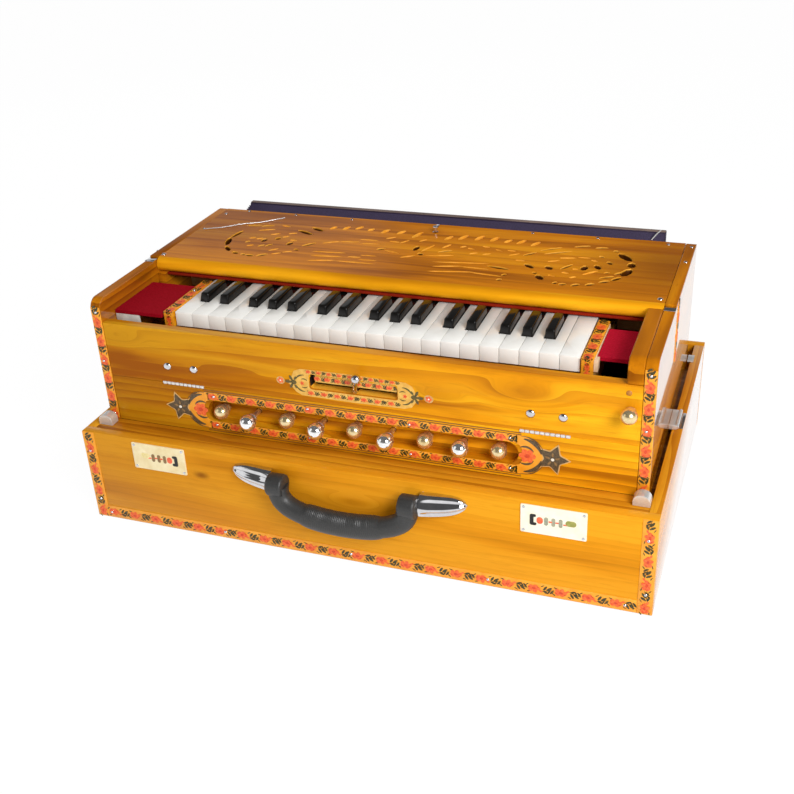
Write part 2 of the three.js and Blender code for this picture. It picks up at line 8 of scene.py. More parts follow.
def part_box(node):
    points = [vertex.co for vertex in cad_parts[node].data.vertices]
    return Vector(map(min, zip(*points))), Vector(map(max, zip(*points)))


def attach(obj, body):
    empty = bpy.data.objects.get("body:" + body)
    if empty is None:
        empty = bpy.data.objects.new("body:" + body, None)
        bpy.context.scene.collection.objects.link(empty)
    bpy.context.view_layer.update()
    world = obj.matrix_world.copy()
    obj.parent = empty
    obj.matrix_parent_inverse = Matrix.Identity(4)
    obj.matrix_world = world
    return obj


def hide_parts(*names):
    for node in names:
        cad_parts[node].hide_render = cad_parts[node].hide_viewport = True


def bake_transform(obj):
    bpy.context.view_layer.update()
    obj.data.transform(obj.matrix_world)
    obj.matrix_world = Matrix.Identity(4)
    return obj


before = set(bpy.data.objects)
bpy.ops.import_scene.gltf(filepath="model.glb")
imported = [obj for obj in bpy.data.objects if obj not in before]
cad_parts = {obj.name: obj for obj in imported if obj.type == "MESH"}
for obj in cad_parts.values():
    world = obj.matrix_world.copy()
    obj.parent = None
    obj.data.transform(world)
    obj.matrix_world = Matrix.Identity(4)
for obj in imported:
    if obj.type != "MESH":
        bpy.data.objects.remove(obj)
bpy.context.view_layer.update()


# Camera: a little right of the middle and above the instrument, on a short telephoto lens,
# fitted to the straight edges and the key lines of the photograph.
bpy.ops.object.camera_add(
    location=(0.4145, -1.1076, 0.7414),
    rotation=[math.radians(angle) for angle in (61.544, 2.671, 19.782)],
)
camera = bpy.context.object
camera.name = "camera"
camera.data.lens = 49.41
bpy.context.scene.camera = camera
bpy.context.scene.view_settings.view_transform = "Standard"


# Studio: white backdrop paper under the case, a soft tent all round, a large lamp low on the
# front right and weaker ones left and behind. The tent's upper part is dark to mirrored rays, so
# that the chrome and the lacquer get their blacks.
def colour(code):
    """An sRGB hex value as the linear colour that Blender's sockets take."""
    parts = [int(code[i:i + 2], 16) / 255 for i in (0, 2, 4)]
    return [part / 12.92 if part <= 0.04045 else ((part + 0.055) / 1.055) ** 2.4 for part in parts] + [1]


def add(tree, kind, settings=None, inputs=None):
    """Adds a node with its settings and inputs."""
    node = tree.nodes.new(kind)
    for name, value in (settings or {}).items():
        setattr(node, name, value)
    return fill(tree, node, inputs or {})


def fill(tree, node, inputs):
    """Sets each input of a node to a value, or links it to a socket."""
    for key, value in inputs.items():
        if isinstance(value, bpy.types.NodeSocket):
            tree.links.new(value, node.inputs[key])
        else:
            node.inputs[key].default_value = value
    return node


def new_material(name):
    """A material by its name, with its node tree and its shader."""
    material = bpy.data.materials.new(name)
    material.use_nodes = True
    return material, material.node_tree, material.node_tree.nodes["Principled BSDF"]


def seen_ray(tree, ray):
    """1 for what the camera sees directly, in a mirror or through glass, and 0 for light on the object."""
    seen = ray.outputs["Is Camera Ray"]
    for kind in ("Is Glossy Ray", "Is Transmission Ray"):
        seen = add(tree, "ShaderNodeMath", {"operation": "MAXIMUM"}, {0: seen, 1: ray.outputs[kind]}).outputs[0]
    return seen


bpy.ops.mesh.primitive_plane_add(size=16, location=(0, 0, -0.0004))
floor = bpy.context.object
floor.name = "backdrop_paper"
paper, tree, surface = new_material("white backdrop paper")
fill(tree, surface, {"Base Color": colour("F4F4F4"), "Roughness": 0.9})
seen = seen_ray(tree, add(tree, "ShaderNodeLightPath"))
share = add(tree, "ShaderNodeMath", {"operation": "MULTIPLY"}, {0: seen, 1: 0.93})
glow = add(tree, "ShaderNodeEmission", {}, {"Color": (1, 1, 1, 1), "Strength": 1.03})
mixed = add(tree, "ShaderNodeMixShader", {}, {0: share.outputs[0], 1: surface.outputs[0], 2: glow.outputs[0]})
tree.links.new(mixed.outputs[0], tree.nodes["Material Output"].inputs["Surface"])
floor.data.materials.append(paper)

tent = bpy.context.scene.world or bpy.data.worlds.new("tent")
bpy.context.scene.world = tent
tent.use_nodes = True
tree = tent.node_tree
ray = add(tree, "ShaderNodeLightPath")
light = fill(tree, tree.nodes["Background"], {"Color": colour("FFFFFF"), "Strength": 0.5})
way = add(tree, "ShaderNodeSeparateXYZ", {}, {0: add(tree, "ShaderNodeTexCoord").outputs["Generated"]})
dim = add(tree, "ShaderNodeMapRange", {}, {0: way.outputs[2], 1: 0.04, 2: 0.3, 3: 1.0, 4: 0.1})
mirrored = add(tree, "ShaderNodeMix", {"data_type": "FLOAT"},
               {0: ray.outputs["Is Glossy Ray"], 2: 1.0, 3: dim.outputs[0]})
white = add(tree, "ShaderNodeBackground", {}, {"Color": (1, 1, 1, 1), "Strength": mirrored.outputs[0]})
mixed = add(tree, "ShaderNodeMixShader", {}, {0: seen_ray(tree, ray), 1: light.outputs[0], 2: white.outputs[0]})
tree.links.new(mixed.outputs[0], tree.nodes["World Output"].inputs["Surface"])

for name, place, aim, size, power in (
    ("lamp_right", (1.45, -1.35, 1.35), (0.1, 0, 0.15), 0.9, 42),
    ("lamp_left", (-1.9, -1.4, 1.3), (0, 0, 0.15), 1.2, 4),
    ("lamp_back", (-1.3, 1.8, 1.05), (-0.1, 0.1, 0.2), 1.1, 1.8),
):
    bpy.ops.object.light_add(type="AREA", location=place)
    lamp = bpy.context.object
    lamp.name = name
    lamp.rotation_euler = (Vector(aim) - Vector(place)).to_track_quat("-Z", "Y").to_euler()
    lamp.data.size = size
    lamp.data.energy = power


# Carrying case: teak boards butted and glued, 12 mm thick, with the ledge board along the front,
# and two cleats inside that the body stands on. Brushed gloss lacquer over a honey stain.
@contextmanager
def whole_mesh():
    """Edit mode on the active piece, with all of its mesh selected."""
    bpy.ops.object.mode_set(mode="EDIT")
    bpy.ops.mesh.select_all(action="SELECT")
    yield
    bpy.ops.object.mode_set(mode="OBJECT")


def dress(piece, paint=None, body=None, node=None):
    """Gives a piece its finish, the body that it rides on, and the solid that it replaces."""
    if paint:
        piece.data.materials.append(paint)
    if body:
        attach(piece, body)
    if node:
        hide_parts(node)
    return piece


def board(name, low, high, edge=0.8, body="case"):
    """A planed board between any two corners in mm: a cube at its size and place, its edges broken."""
    low, high = [min(ends) for ends in zip(low, high)], [max(ends) for ends in zip(low, high)]
    bpy.ops.object.select_all(action="DESELECT")
    bpy.ops.mesh.primitive_cube_add(size=0.001, location=[(a + b) / 2000 for a, b in zip(low, high)])
    piece = bpy.context.object
    piece.name = name
    piece.scale = [b - a for a, b in zip(low, high)]
    bpy.ops.object.transform_apply(location=True, rotation=True, scale=True)
    if edge:
        with whole_mesh():
            bpy.ops.mesh.bevel(offset=edge / 1000, segments=2, affect="EDGES")
    bpy.ops.object.shade_smooth_by_angle(angle=math.radians(40))
    return dress(piece, body=body)


def lacquered_teak(name, dark, honey, pale, along="X", across="Z", shift=(0, 0, 0), figure=1.0, pitch=13, eyes=(),
                   gloss=0.22, rough=0.22, coat=False):
    """Flat-sawn teak under gloss lacquer: growth lines pitch mm apart that wander along the grain,
    broad bands of tone, and fine dark pores. Each eye is a place in mm where the lines run round a
    knot: its centre, its half size, how far it pushes the lines, and how dark it is. An eye that
    pushes nothing and spans most of a board is no knot, only a broad darkening of the colour; the
    calls below say where that darkening is painted shade. A coat is the thicker, mirror-like
    lacquer that side boards have on their broad faces."""
    material, tree, surface = new_material(name)
    flow = add(tree, "ShaderNodeTexCoord").outputs["Object"]
    start = flow
    knots_and_painted_shade = []
    for centre, reach, push, shade in eyes:
        away = add(tree, "ShaderNodeVectorMath", {"operation": "SUBTRACT"},
                   {0: start, 1: [c / 1000 for c in centre]})
        away = add(tree, "ShaderNodeVectorMath", {"operation": "MULTIPLY"},
                   {0: away.outputs[0], 1: [1000 / r for r in reach]})
        away = add(tree, "ShaderNodeVectorMath", {"operation": "LENGTH"}, {0: away.outputs[0]})
        near = add(tree, "ShaderNodeMapRange", {"interpolation_type": "SMOOTHSTEP"},
                   {0: away.outputs["Value"], 1: 0, 2: 1, 3: 1, 4: 0})
        pushed = add(tree, "ShaderNodeVectorMath", {"operation": "SCALE"},
                     {0: [push / 1000 if axis == across else 0 for axis in "XYZ"], "Scale": near.outputs[0]})
        flow = add(tree, "ShaderNodeVectorMath", {"operation": "ADD"}, {0: flow, 1: pushed.outputs[0]}).outputs[0]
        if shade:
            knots_and_painted_shade.append(add(tree, "ShaderNodeMath", {"operation": "MULTIPLY"}, {0: near.outputs[0], 1: shade}))
    drawn = {"X": (1, 12, 12), "Y": (12, 1, 12), "Z": (12, 12, 1)}[along]
    grain = add(tree, "ShaderNodeMapping", {}, {"Vector": flow, "Location": shift, "Scale": drawn})
    lines = add(tree, "ShaderNodeTexWave", {"bands_direction": across, "wave_profile": "SAW"},
                {"Vector": grain.outputs[0], "Scale": 26.2 / pitch, "Distortion": 9, "Detail": 2.5,
                 "Detail Scale": 0.9, "Detail Roughness": 0.5})
    bands = add(tree, "ShaderNodeTexNoise", {},
                {"Vector": grain.outputs[0], "Scale": 2.6, "Detail": 3, "Roughness": 0.5, "Distortion": 0.5})
    pores = add(tree, "ShaderNodeTexNoise", {},
                {"Vector": grain.outputs[0], "Scale": 30, "Detail": 2, "Roughness": 0.7, "Distortion": 0.2})
    blend = add(tree, "ShaderNodeMath", {"operation": "MULTIPLY_ADD"},
                {0: lines.outputs["Fac"], 1: -0.16 * figure, 2: bands.outputs[0]})
    tone = add(tree, "ShaderNodeValToRGB", {}, {0: blend.outputs[0]})
    tone.color_ramp.elements[0].position = 0.24
    tone.color_ramp.elements[0].color = colour(dark)
    tone.color_ramp.elements[1].position = 0.58
    tone.color_ramp.elements[1].color = colour(pale)
    middle = tone.color_ramp.elements.new(0.4)
    middle.color = colour(honey)
    ring = add(tree, "ShaderNodeMapRange", {}, {0: lines.outputs["Fac"], 1: 0.72, 2: 1.0, 3: 0.0, 4: 0.34 * figure})
    streak = add(tree, "ShaderNodeMapRange", {}, {0: pores.outputs[0], 1: 0.52, 2: 0.76, 3: 0.0, 4: 0.34})
    marks = add(tree, "ShaderNodeMath", {"operation": "MAXIMUM"}, {0: ring.outputs[0], 1: streak.outputs[0]})
    body_tone = add(tree, "ShaderNodeMix", {"data_type": "RGBA"},
                    {0: marks.outputs[0], 6: tone.outputs[0], 7: colour(dark)})
    # Knots darken towards one deep brown. The broad eyes darken towards it too, and there it is painted shade.
    for knot in knots_and_painted_shade:
        body_tone = add(tree, "ShaderNodeMix", {"data_type": "RGBA"},
                        {0: knot.outputs[0], 6: body_tone.outputs[2], 7: colour("682A02")})
    fill(tree, surface, {"Base Color": body_tone.outputs[2], "Roughness": rough, "IOR": 1.5,
                         "Specular IOR Level": gloss, "Specular Tint": colour("FFC060")})
    if coat:
        way = add(tree, "ShaderNodeSeparateXYZ", {}, {0: add(tree, "ShaderNodeTexCoord").outputs["Normal"]})
        way = add(tree, "ShaderNodeMath", {"operation": "ABSOLUTE"}, {0: way.outputs[0]})
        poured = add(tree, "ShaderNodeMapRange", {}, {0: way.outputs[0], 1: 0.6, 2: 0.9, 3: 0, 4: 1})
        fill(tree, surface, {"Coat Weight": poured.outputs[0], "Coat IOR": 1.8, "Coat Roughness": 0.03})
    else:
        raised = add(tree, "ShaderNodeBump", {}, {"Height": pores.outputs[0], "Strength": 0.1, "Distance": 0.0003})
        fill(tree, surface, {"Normal": raised.outputs[0]})
    return material


case_half, case_deep, case_high, wall = 332, 207, 118.5, 12
# Of the front's eyes, the first is a dark knot and the second a swirl of figure. The third, broad one at the left end
# pushes no lines and is painted shade, darker towards the left where less light falls.
teak_front = lacquered_teak(
    "lacquered teak, case front", "BC740E", "D88C16", "E49C20", figure=0.45, pitch=9,
    eyes=(((-179, -207, 83), (14, 40, 7), 9, 0.75), ((8, -207, 78), (62, 40, 17), 24, 0.1),
          ((-332, -207, 60), (330, 40, 300), 0, 0.12)))
# The ledge has the case's teak in darker tones, painted shade: it lies face up in the body's shadow.
teak_ledge_shaded = lacquered_teak("lacquered teak, ledge", "8A4A08", "BA7410", "D8921C", across="Y", shift=(0.2, 0.4, 0.1))
teak_sides = lacquered_teak("lacquered teak, case sides", "A65C0C", "CE8416", "E09A22", "Y", "Z", (0.3, 0.1, 0),
                            gloss=0.14, rough=0.2, coat=True)
teak_inside = lacquered_teak("lacquered teak, inside", "6A3A0C", "8E5414", "A86A20", "X", "Y", (0.7, 0.2, 0.4))
for name, low, high, wood in (
    ("case_front", (-case_half, -case_deep, 0), (case_half, -case_deep + wall, case_high), teak_front),
    ("case_back", (-case_half, case_deep - wall, 0), (case_half, case_deep, case_high), teak_front),
    ("case_side_left", (-case_half, -case_deep + wall, 0), (-case_half + wall, case_deep - wall, case_high),
     teak_sides),
    ("case_side_right", (case_half - wall, -case_deep + wall, 0), (case_half, case_deep - wall, case_high),
     teak_sides),
    ("case_ledge", (-case_half + wall, -case_deep + wall, 106.5), (case_half - wall, -169, case_high),
     teak_ledge_shaded),
    ("case_bottom", (-case_half + wall, -case_deep + wall, 0), (case_half - wall, case_deep - wall, 10),
     teak_inside),
    ("case_cleat_left", (-case_half + wall, -168.7, 95.7), (-302, 146, 107.7), teak_inside),
    ("case_cleat_right", (302, -168.7, 95.7), (case_half - wall, 146, 107.7), teak_inside),
):
    dress(board(name, low, high), wood, node="case_tray")


# Handle sockets: two cast leaves of polished chrome on the case's front, with three flutes that
# run out to the tip. Each leaf holds one end of the grip.
def formed(name, long_steps, round_steps, place, closed=True):
    """A surface drawn over a grid: place(t, u) gives the point in mm, with t and u from 0 to 1."""
    bpy.ops.object.select_all(action="DESELECT")
    bpy.ops.mesh.primitive_grid_add(x_subdivisions=long_steps, y_subdivisions=round_steps, size=1)
    piece = bpy.context.object
    piece.name = name
    for point in piece.data.vertices:
        t, u = point.co.x + 0.5, point.co.y + 0.5
        point.co = Vector(place(t, u)) / 1000
    with whole_mesh():
        bpy.ops.mesh.remove_doubles(threshold=0.00002)
        if closed:
            bpy.ops.mesh.select_all(action="DESELECT")
            bpy.ops.mesh.select_mode(type="EDGE")
            bpy.ops.mesh.select_non_manifold()
            bpy.ops.mesh.edge_face_add()
        bpy.ops.mesh.select_all(action="SELECT")
        bpy.ops.mesh.normals_make_consistent(inside=False)
    bpy.ops.object.shade_smooth_by_angle(angle=math.radians(50))
    return piece


def finish(name, deep, pale, grain, roughness, bump=0.0, stretch=(1, 1, 1), **sockets):
    """A finish whose colour wanders between two hex values in patches of grain mm, with a relief
    of the same size. Other sockets of the shader are set by name."""
    material, tree, surface = new_material(name)
    place = add(tree, "ShaderNodeTexCoord").outputs["Object"]
    spread = add(tree, "ShaderNodeMapping", {}, {"Vector": place, "Scale": stretch})
    patches = add(tree, "ShaderNodeTexNoise", {},
                  {"Vector": spread.outputs[0], "Scale": 1000 / grain, "Detail": 4, "Roughness": 0.6})
    share = add(tree, "ShaderNodeMapRange", {}, {0: patches.outputs[0], 1: 0.33, 2: 0.67, 3: 0, 4: 1})
    tint = add(tree, "ShaderNodeMix", {"data_type": "RGBA"},
               {0: share.outputs[0], 6: colour(deep), 7: colour(pale)})
    if bump:
        raised = add(tree, "ShaderNodeBump", {},
                     {"Height": patches.outputs[0], "Strength": 0.3, "Distance": bump / 1000})
        fill(tree, surface, {"Normal": raised.outputs[0]})
    fill(tree, surface, {"Base Color": tint.outputs[2], "Roughness": roughness})
    fill(tree, surface, {socket.replace("_", " "): value for socket, value in sockets.items()})
    return material


# Chrome plate on polished castings mirrors the studio sharply, with a faint waviness. The brushed
# nickel plate of the small steel fittings gives a soft, broad highlight.
chrome = finish("chrome plate", "CDCDD0", "DEDEE0", 9, 0.06, 0.004, Metallic=1)
satin = finish("brushed nickel plate", "CECCC8", "EEECEA", 2.5, 0.24, 0.01, (1, 6, 6), Metallic=0.55)
grip_height, grip_front, grip_half = 97, -221, 76
socket_mouth, socket_long = grip_half + 9.8, 51
sides = ((-1, "left"), (1, "right"))
for side, end in sides:
    def leaf_point(t, u, side=side):
        """The leaf's face: t runs from the socket's mouth to the tip, and u across the three flutes."""
        turn = (u - 0.5) * math.pi
        swell = (1 - t ** 5) ** 0.62
        half = 0.3 + 14.4 * swell * (1 - 0.2 * t)
        flute = 1 - 0.26 * (0.5 - 0.5 * math.cos(turn * 6)) * min(1, 0.3 + t * 3)
        proud = 0.6 + 15 * swell * (1 - 0.35 * t)
        return (side * (socket_mouth + socket_long * t),
                -case_deep + 0.2 - proud * flute * math.cos(turn),
                grip_height - 3 + 6 * t ** 1.2 + half * math.sin(turn))
    dress(formed("handle_socket_" + end, 24, 60, leaf_point), chrome, "case", "case_tray")


# Handle grip: charcoal moulded plastic, a bow that hangs from a barrel at each end. The middle of
# the bow is ribbed for the hand.
def turned(name, profile, centre, along=(0, 1, 0), steps=28):
    """A lathe-turned piece: profile is pairs of distance along the axis and radius, in mm."""
    axis = Vector(along).normalized()
    across = axis.orthogonal().normalized()
    upward = axis.cross(across)
    last = len(profile) - 1

    def ring_point(t, u):
        far, radius = profile[round(t * last)]
        turn = u * 2 * math.pi
        return Vector(centre) + axis * far + (across * math.cos(turn) + upward * math.sin(turn)) * radius

    return formed(name, last, steps, ring_point, closed=False)


bow_drop, bow_round = 36, 0.62


def grip_point(t, u):
    """The bow's skin: t runs from the left barrel to the right one, and u round the section."""
    side = 2 * t - 1
    swing = side * math.pi / 2
    reach = grip_half * math.sin(swing) * 0.985
    drop = bow_drop * math.cos(swing) ** bow_round
    slope_x = grip_half * math.cos(swing) * math.pi / 2 + 0.001
    slope_z = bow_drop * bow_round * math.sin(swing) * math.pi / 2 / max(0.12, math.cos(swing)) ** 0.38
    along = Vector((slope_x, 0, slope_z)).normalized()
    across = Vector((-along.z, 0, along.x))
    turn = u * 2 * math.pi
    middle = max(0, 1 - (abs(reach) / 46) ** 10)
    rib = 0.55 * middle * (0.5 + 0.5 * math.cos(reach / 2.2 * 2 * math.pi)) * max(0, min(1, 0.7 + math.sin(turn)))
    wide = 11.8 + 2.4 * middle + rib
    thick = 11 + 0.4 * middle + rib
    centre = Vector((reach, grip_front - 3 * math.cos(swing), grip_height - drop))
    return centre + across * wide * math.sin(turn) + Vector((0, -1, 0)) * thick * math.cos(turn)


# Moulded nylon: dark grey, with a fine grain that spreads the light into a dull sheen.
charcoal = finish("moulded nylon, charcoal", "2A2A2A", "383837", 1.2, 0.42, 0.05, IOR=1.5)
dress(formed("handle_bow", 420, 40, grip_point), charcoal, "handle", "handle_grip")
for side, end in sides:
    profile = ((0, 0), (0, 11.4), (1.2, 12.6), (2.6, 13), (16.4, 13), (17.8, 12.6), (19, 11.4), (19, 0))
    barrel = turned("handle_barrel_" + end, profile, (side * grip_half - 9.5, grip_front, grip_height), (1, 0, 0), 40)
    dress(barrel, charcoal, "handle", "handle_grip")


# Fittings on the case: half-round corner stops that the body stands behind, side catches with a
# knuckle and a leaf that lies on the rim, and small plates near the back. Nickel and chrome on steel.
def pick(*pieces):
    """Selects these pieces and no others, the first of them active."""
    bpy.ops.object.select_all(action="DESELECT")
    for piece in pieces:
        piece.select_set(True)
    bpy.context.view_layer.objects.active = pieces[0]


def round_edges(piece, chosen, radius, steps=8):
    """Rounds the edges that chosen() picks by their two ends in mm."""
    pick(piece)
    for part in (*piece.data.vertices, *piece.data.polygons):
        part.select = False
    for edge in piece.data.edges:
        edge.select = bool(chosen(*(piece.data.vertices[i].co * 1000 for i in edge.vertices)))
    bpy.context.tool_settings.mesh_select_mode = (False, True, False)
    bpy.ops.object.mode_set(mode="EDIT")
    bpy.ops.mesh.bevel(offset=radius / 1000, segments=steps, affect="EDGES")
    bpy.ops.object.mode_set(mode="OBJECT")


def soften(piece, edge=0.5, angle=35, steps=2):
    """Breaks the edges that are still sharp."""
    pick(piece)
    bevel = piece.modifiers.new("edge", "BEVEL")
    bevel.width = edge / 1000
    bevel.segments = steps
    bevel.angle_limit = math.radians(angle)
    bevel.use_clamp_overlap = True
    bpy.ops.object.modifier_apply(modifier="edge")
    bpy.ops.object.shade_smooth_by_angle(angle=math.radians(40))


def join(name, pieces):
    """Joins pieces into one, by its new name."""
    pick(*pieces)
    bpy.ops.object.join()
    pieces[0].name = name
    return pieces[0]


for side, end in sides:
    x = side * 311
    stop = board("corner_stop_" + end, (x - 9, -188, case_high + 0.1), (x + 9, -175, 131.5), edge=0)
    round_edges(stop, lambda a, b: a.z > 131 and b.z > 131 and abs(a.x - b.x) < 1, 8.6, 10)
    soften(stop, 0.6)
    dress(stop, satin, node="case_tray")

    seat = board("catch_seat_" + end, (side * 331.7, -24, case_high + 0.1), (side * 327.7, 12, 119.3), 0.2)
    dress(seat, chrome, node="case_tray")
    pin = side * 325.2
    parts = [board("catch_leaf", (pin, -26, 119.7), (pin - side * 9, 14, 121.5), 0.4, None),
             board("catch_lip", (pin, -28.2, 118.9), (pin - side * 9, -26.2, 124.6), 0.5, None)]
    profile = ((0, 0), (0, 1.9), (0.4, 2.2), (7.4, 2.2), (7.8, 1.9), (7.8, 0))
    parts += [turned("catch_knuckle", profile, (pin, -26 + number * 8, 121), steps=16) for number in range(5)]
    dress(join("side_catch_" + end + "_dressed", parts), satin, "catch_" + end, "side_catch_" + end)

    bracket = board("rim_bracket_" + end, (side * 324, 144, case_high + 0.05), (side * 316.5, 162, 120), 0.4)
    dress(bracket, satin)


# Lock plates: cast plates of ivory enamel let into the case's front, with a black keyhole at the
# inner end, a row of painted ovals, and a chrome screw in each corner.
def plate(name, low, high, radius, edge=0.3, body="case", steps=8):
    """A flat plate seen from the front, with its four corners rounded."""
    piece = board(name, low, high, edge=0, body=body)
    round_edges(piece, lambda a, b: abs(a.y - b.y) > 0.01 and abs(a.x - b.x) < 0.01 and abs(a.z - b.z) < 0.01,
                radius, steps)
    if edge:
        soften(piece, edge)
    return piece


# Stove enamel lies smooth and glossy on the plates. The oil paints are matt, and their brush
# relief is drawn at 3 mm, coarser than the real strokes, so that it shows.
ivory = finish("stove enamel, ivory", "F8EDD0", "FFF6E0", 12, 0.25, IOR=1.5)
aged = finish("stove enamel, yellowed", "EAD6A2", "F6E8BE", 12, 0.25, IOR=1.5)
black = finish("black lacquer", "120E0C", "1E1814", 4, 0.35)
vermilion, umber, sage, olive, straw = [finish("painted " + name, deep, pale, 3, 0.4, 0.02) for name, deep, pale in (
    ("vermilion", "E4532C", "F4744C"), ("umber", "7A5A30", "9A7A4C"), ("sage", "8E9480", "B0AC90"),
    ("olive", "8A8C3C", "A6A456"), ("straw", "E6D28C", "F2E2A8"))]
for side, end, slim, last in ((-1, "left", umber, straw), (1, "right", sage, olive)):
    x = -231.3 if side < 0 else 227.5
    lock = plate("lock_plate_" + end, (x - 34.3, -case_deep - 1.2, 80), (x + 34.3, -case_deep + 0.1, 114), 1.5)
    dress(lock, aged if side < 0 else ivory)
    marks = []
    for at, wide, high, lift, paint in (
            (-22.4, 4, 13.4, 0, black), (-20.6, 6.4, 3.4, -5, black), (-20.9, 5.8, 3.2, 5.1, black),
            (-14, 6.5, 8, 0, vermilion),
            (-7.5, 4, 10, 0, slim), (-3, 4, 1.6, 0, vermilion), (0, 4, 10, 0, slim), (4, 4, 1.6, 0, vermilion),
            (7.5, 4, 10, 0, slim), (12.5, 5, 1.4, -1, vermilion), (18, 11, 6.5, 1.5, last)):
        mark = plate("mark", (x + side * at - wide / 2, -case_deep - 1.4 - 0.01 * abs(at), 97 + lift - high / 2),
                     (x + side * at + wide / 2, -case_deep - 1.1, 97 + lift + high / 2), min(wide, high) / 2 - 0.1, 0,
                     None, steps=5)
        marks.append(dress(mark, paint))
    dress(join("lock_marks_" + end, marks), body="case")
    screws = [turned("screw", ((0, 0), (-0.5, 1.0), (-0.2, 1.7), (0.5, 1.9)),
                     (x + dx, -case_deep - 1.3, 97 + dz), steps=12) for dx in (-31, 31) for dz in (-14, 14)]
    dress(join("lock_screws_" + end, screws), chrome, "case")


# Painted floral borders: strips of veneer with a yellow ground, nailed to the case's front and to
# the body's posts, with vermilion flowers and dark leaf sprays between them.
def dab(paint, at, size, turn=0, points=8, lift=0.0, thick=0.25):
    """One brush dab: a flat disc, stretched to size, turned by degrees, its face lift above the ground."""
    bpy.ops.object.select_all(action="DESELECT")
    bpy.ops.mesh.primitive_cylinder_add(vertices=points, radius=0.0005, depth=thick / 1000,
                                        location=(at[0] / 1000, at[1] / 1000, (lift + thick / 2) / 1000),
                                        rotation=(0, 0, math.radians(turn)))
    piece = bpy.context.object
    piece.scale = (size[0], size[1], 1)
    bpy.ops.object.transform_apply(location=True, rotation=True, scale=True)
    return dress(piece, paint)


leaf_paint = finish("painted dark leaf", "30280A", "4C4414", 2, 0.4, 0.02)
petal_paint = finish("painted petal", "E2501A", "F4783A", 2.5, 0.4, 0.02)
petal_heart = finish("painted flower heart", "C8381A", "DE5024", 1.5, 0.4, 0.02)
veneer = finish("painted yellow ground", "E8941A", "F4A82C", 14, 0.35, 0.02)
dabs = []
for angle in range(0, 360, 72):
    u, v = 4.2 * math.cos(math.radians(angle)), 2.6 * math.sin(math.radians(angle))
    dabs.append(dab(petal_paint, (u, v), (6.2, 4.6), angle * 0.4, 8, 0.04 * (angle % 5 + angle / 90)))
dabs.append(dab(petal_heart, (0.3, 0.2), (4.4, 3.0), 0, 8, 0.34))
dabs.append(dab(petal_heart, (-4.6, 1.4), (4.0, 1.2), 30, 6, 0.3))
dabs.append(dab(petal_heart, (4.4, 2.4), (3.4, 1.1), -40, 6, 0.3))
dabs.append(dab(petal_paint, (7.6, -2.6), (4.2, 2.4), -25, 6))
dabs += [dab(leaf_paint, at, size, turn, 6) for at, size, turn in (
    ((12.2, 2.0), (7.4, 2.8), 58), ((16.6, 1.6), (7.6, 3.0), 38), ((13.2, -3.2), (6.4, 2.5), -20),
    ((19.4, -1.8), (6.0, 2.4), 48), ((16.2, -2.2), (4.6, 1.8), 60), ((15.6, -0.6), (15.0, 0.8), 16),
    ((9.6, 4.6), (4.6, 1.0), 30), ((-7.2, 4.0), (4.4, 1.2), 40), ((-5.2, -4.8), (4.8, 1.1), 15))]
spray = join("floral_spray", dabs)
bpy.ops.object.transform_apply(location=True, rotation=True, scale=True)


def floral_border(name, start, end, wide, out, body="case", pitch=29, scale=1.0, nails=(), ground=True,
                  thick=0.5, sheet=None):
    """A border along a straight line between two points in mm, on the face whose normal is out."""
    start, end, out = Vector(start), Vector(end), Vector(out)
    along = (end - start).normalized()
    across = out.cross(along)
    count = max(1, round((end - start).length / (pitch * scale)))
    step = (end - start).length / count
    parts = []
    if ground:
        back = board("ground", start - across * wide / 2 - out * 0.2, end + across * wide / 2 + out * thick,
                     0.25, None)
        parts.append(dress(back, sheet or veneer))
    for number in range(count):
        flip = -1 if number % 2 else 1
        copy = spray.copy()
        copy.data = spray.data.copy()
        bpy.context.collection.objects.link(copy)
        centre = (start + along * (step * (number + 0.5) - 7.2 * scale) + out * (thick if ground else 0)) / 1000
        place = Matrix((along * scale, across * flip * scale, out)).transposed().to_4x4()
        place.translation = centre
        copy.data.transform(place)
        if flip < 0:
            copy.data.flip_normals()
        parts.append(copy)
    border = join(name, parts)
    with whole_mesh():
        bpy.ops.mesh.normals_make_consistent(inside=False)
    dress(border, body=body)
    heads = [turned("nail", ((1.3, 0), (1.15, 0.8), (0.7, 1.5), (0, 1.9), (-0.3, 1.9)),
                    start + along * far + across * shift + out * thick, out, 14) for far, shift in nails]
    if heads:
        dress(join(name + "_nails", heads), chrome, body)


front_y = -case_deep
floral_border("case_border_foot", (-316, front_y, 9), (316, front_y, 9), 16, (0, -1, 0),
              nails=((4, -1), (158, 0), (316, 1), (474, 0), (620, -1)))
for side, end in sides:
    floral_border("case_border_" + end, (side * 324, front_y, 0.6), (side * 324, front_y, 118), 15.4, (0, -1, 0),
                  nails=((25, 0), (92, 1)))


# Body: outer side boards with lower arms in front, inner cheeks, bottom, back, and the two cross
# rails that carry the keyboard. The same teak, a little deeper in tone.
teak_body = lacquered_teak("lacquered teak, body sides", "8A4A08", "BC700C", "D68E14", "Y", "Z", (0.9, 0.3, 0.2),
                           gloss=0.08, rough=0.2, coat=True)
body_front, body_back, body_half, arm_step, arm_top, body_top = -168.7, 146, 303.5, -36.3, 270, 272.6


def arm_nose(a, b):
    """Picks the upper front edge of an arm."""
    return min(a.z, b.z) > arm_top - 1 and max(a.y, b.y) < body_front + 0.7


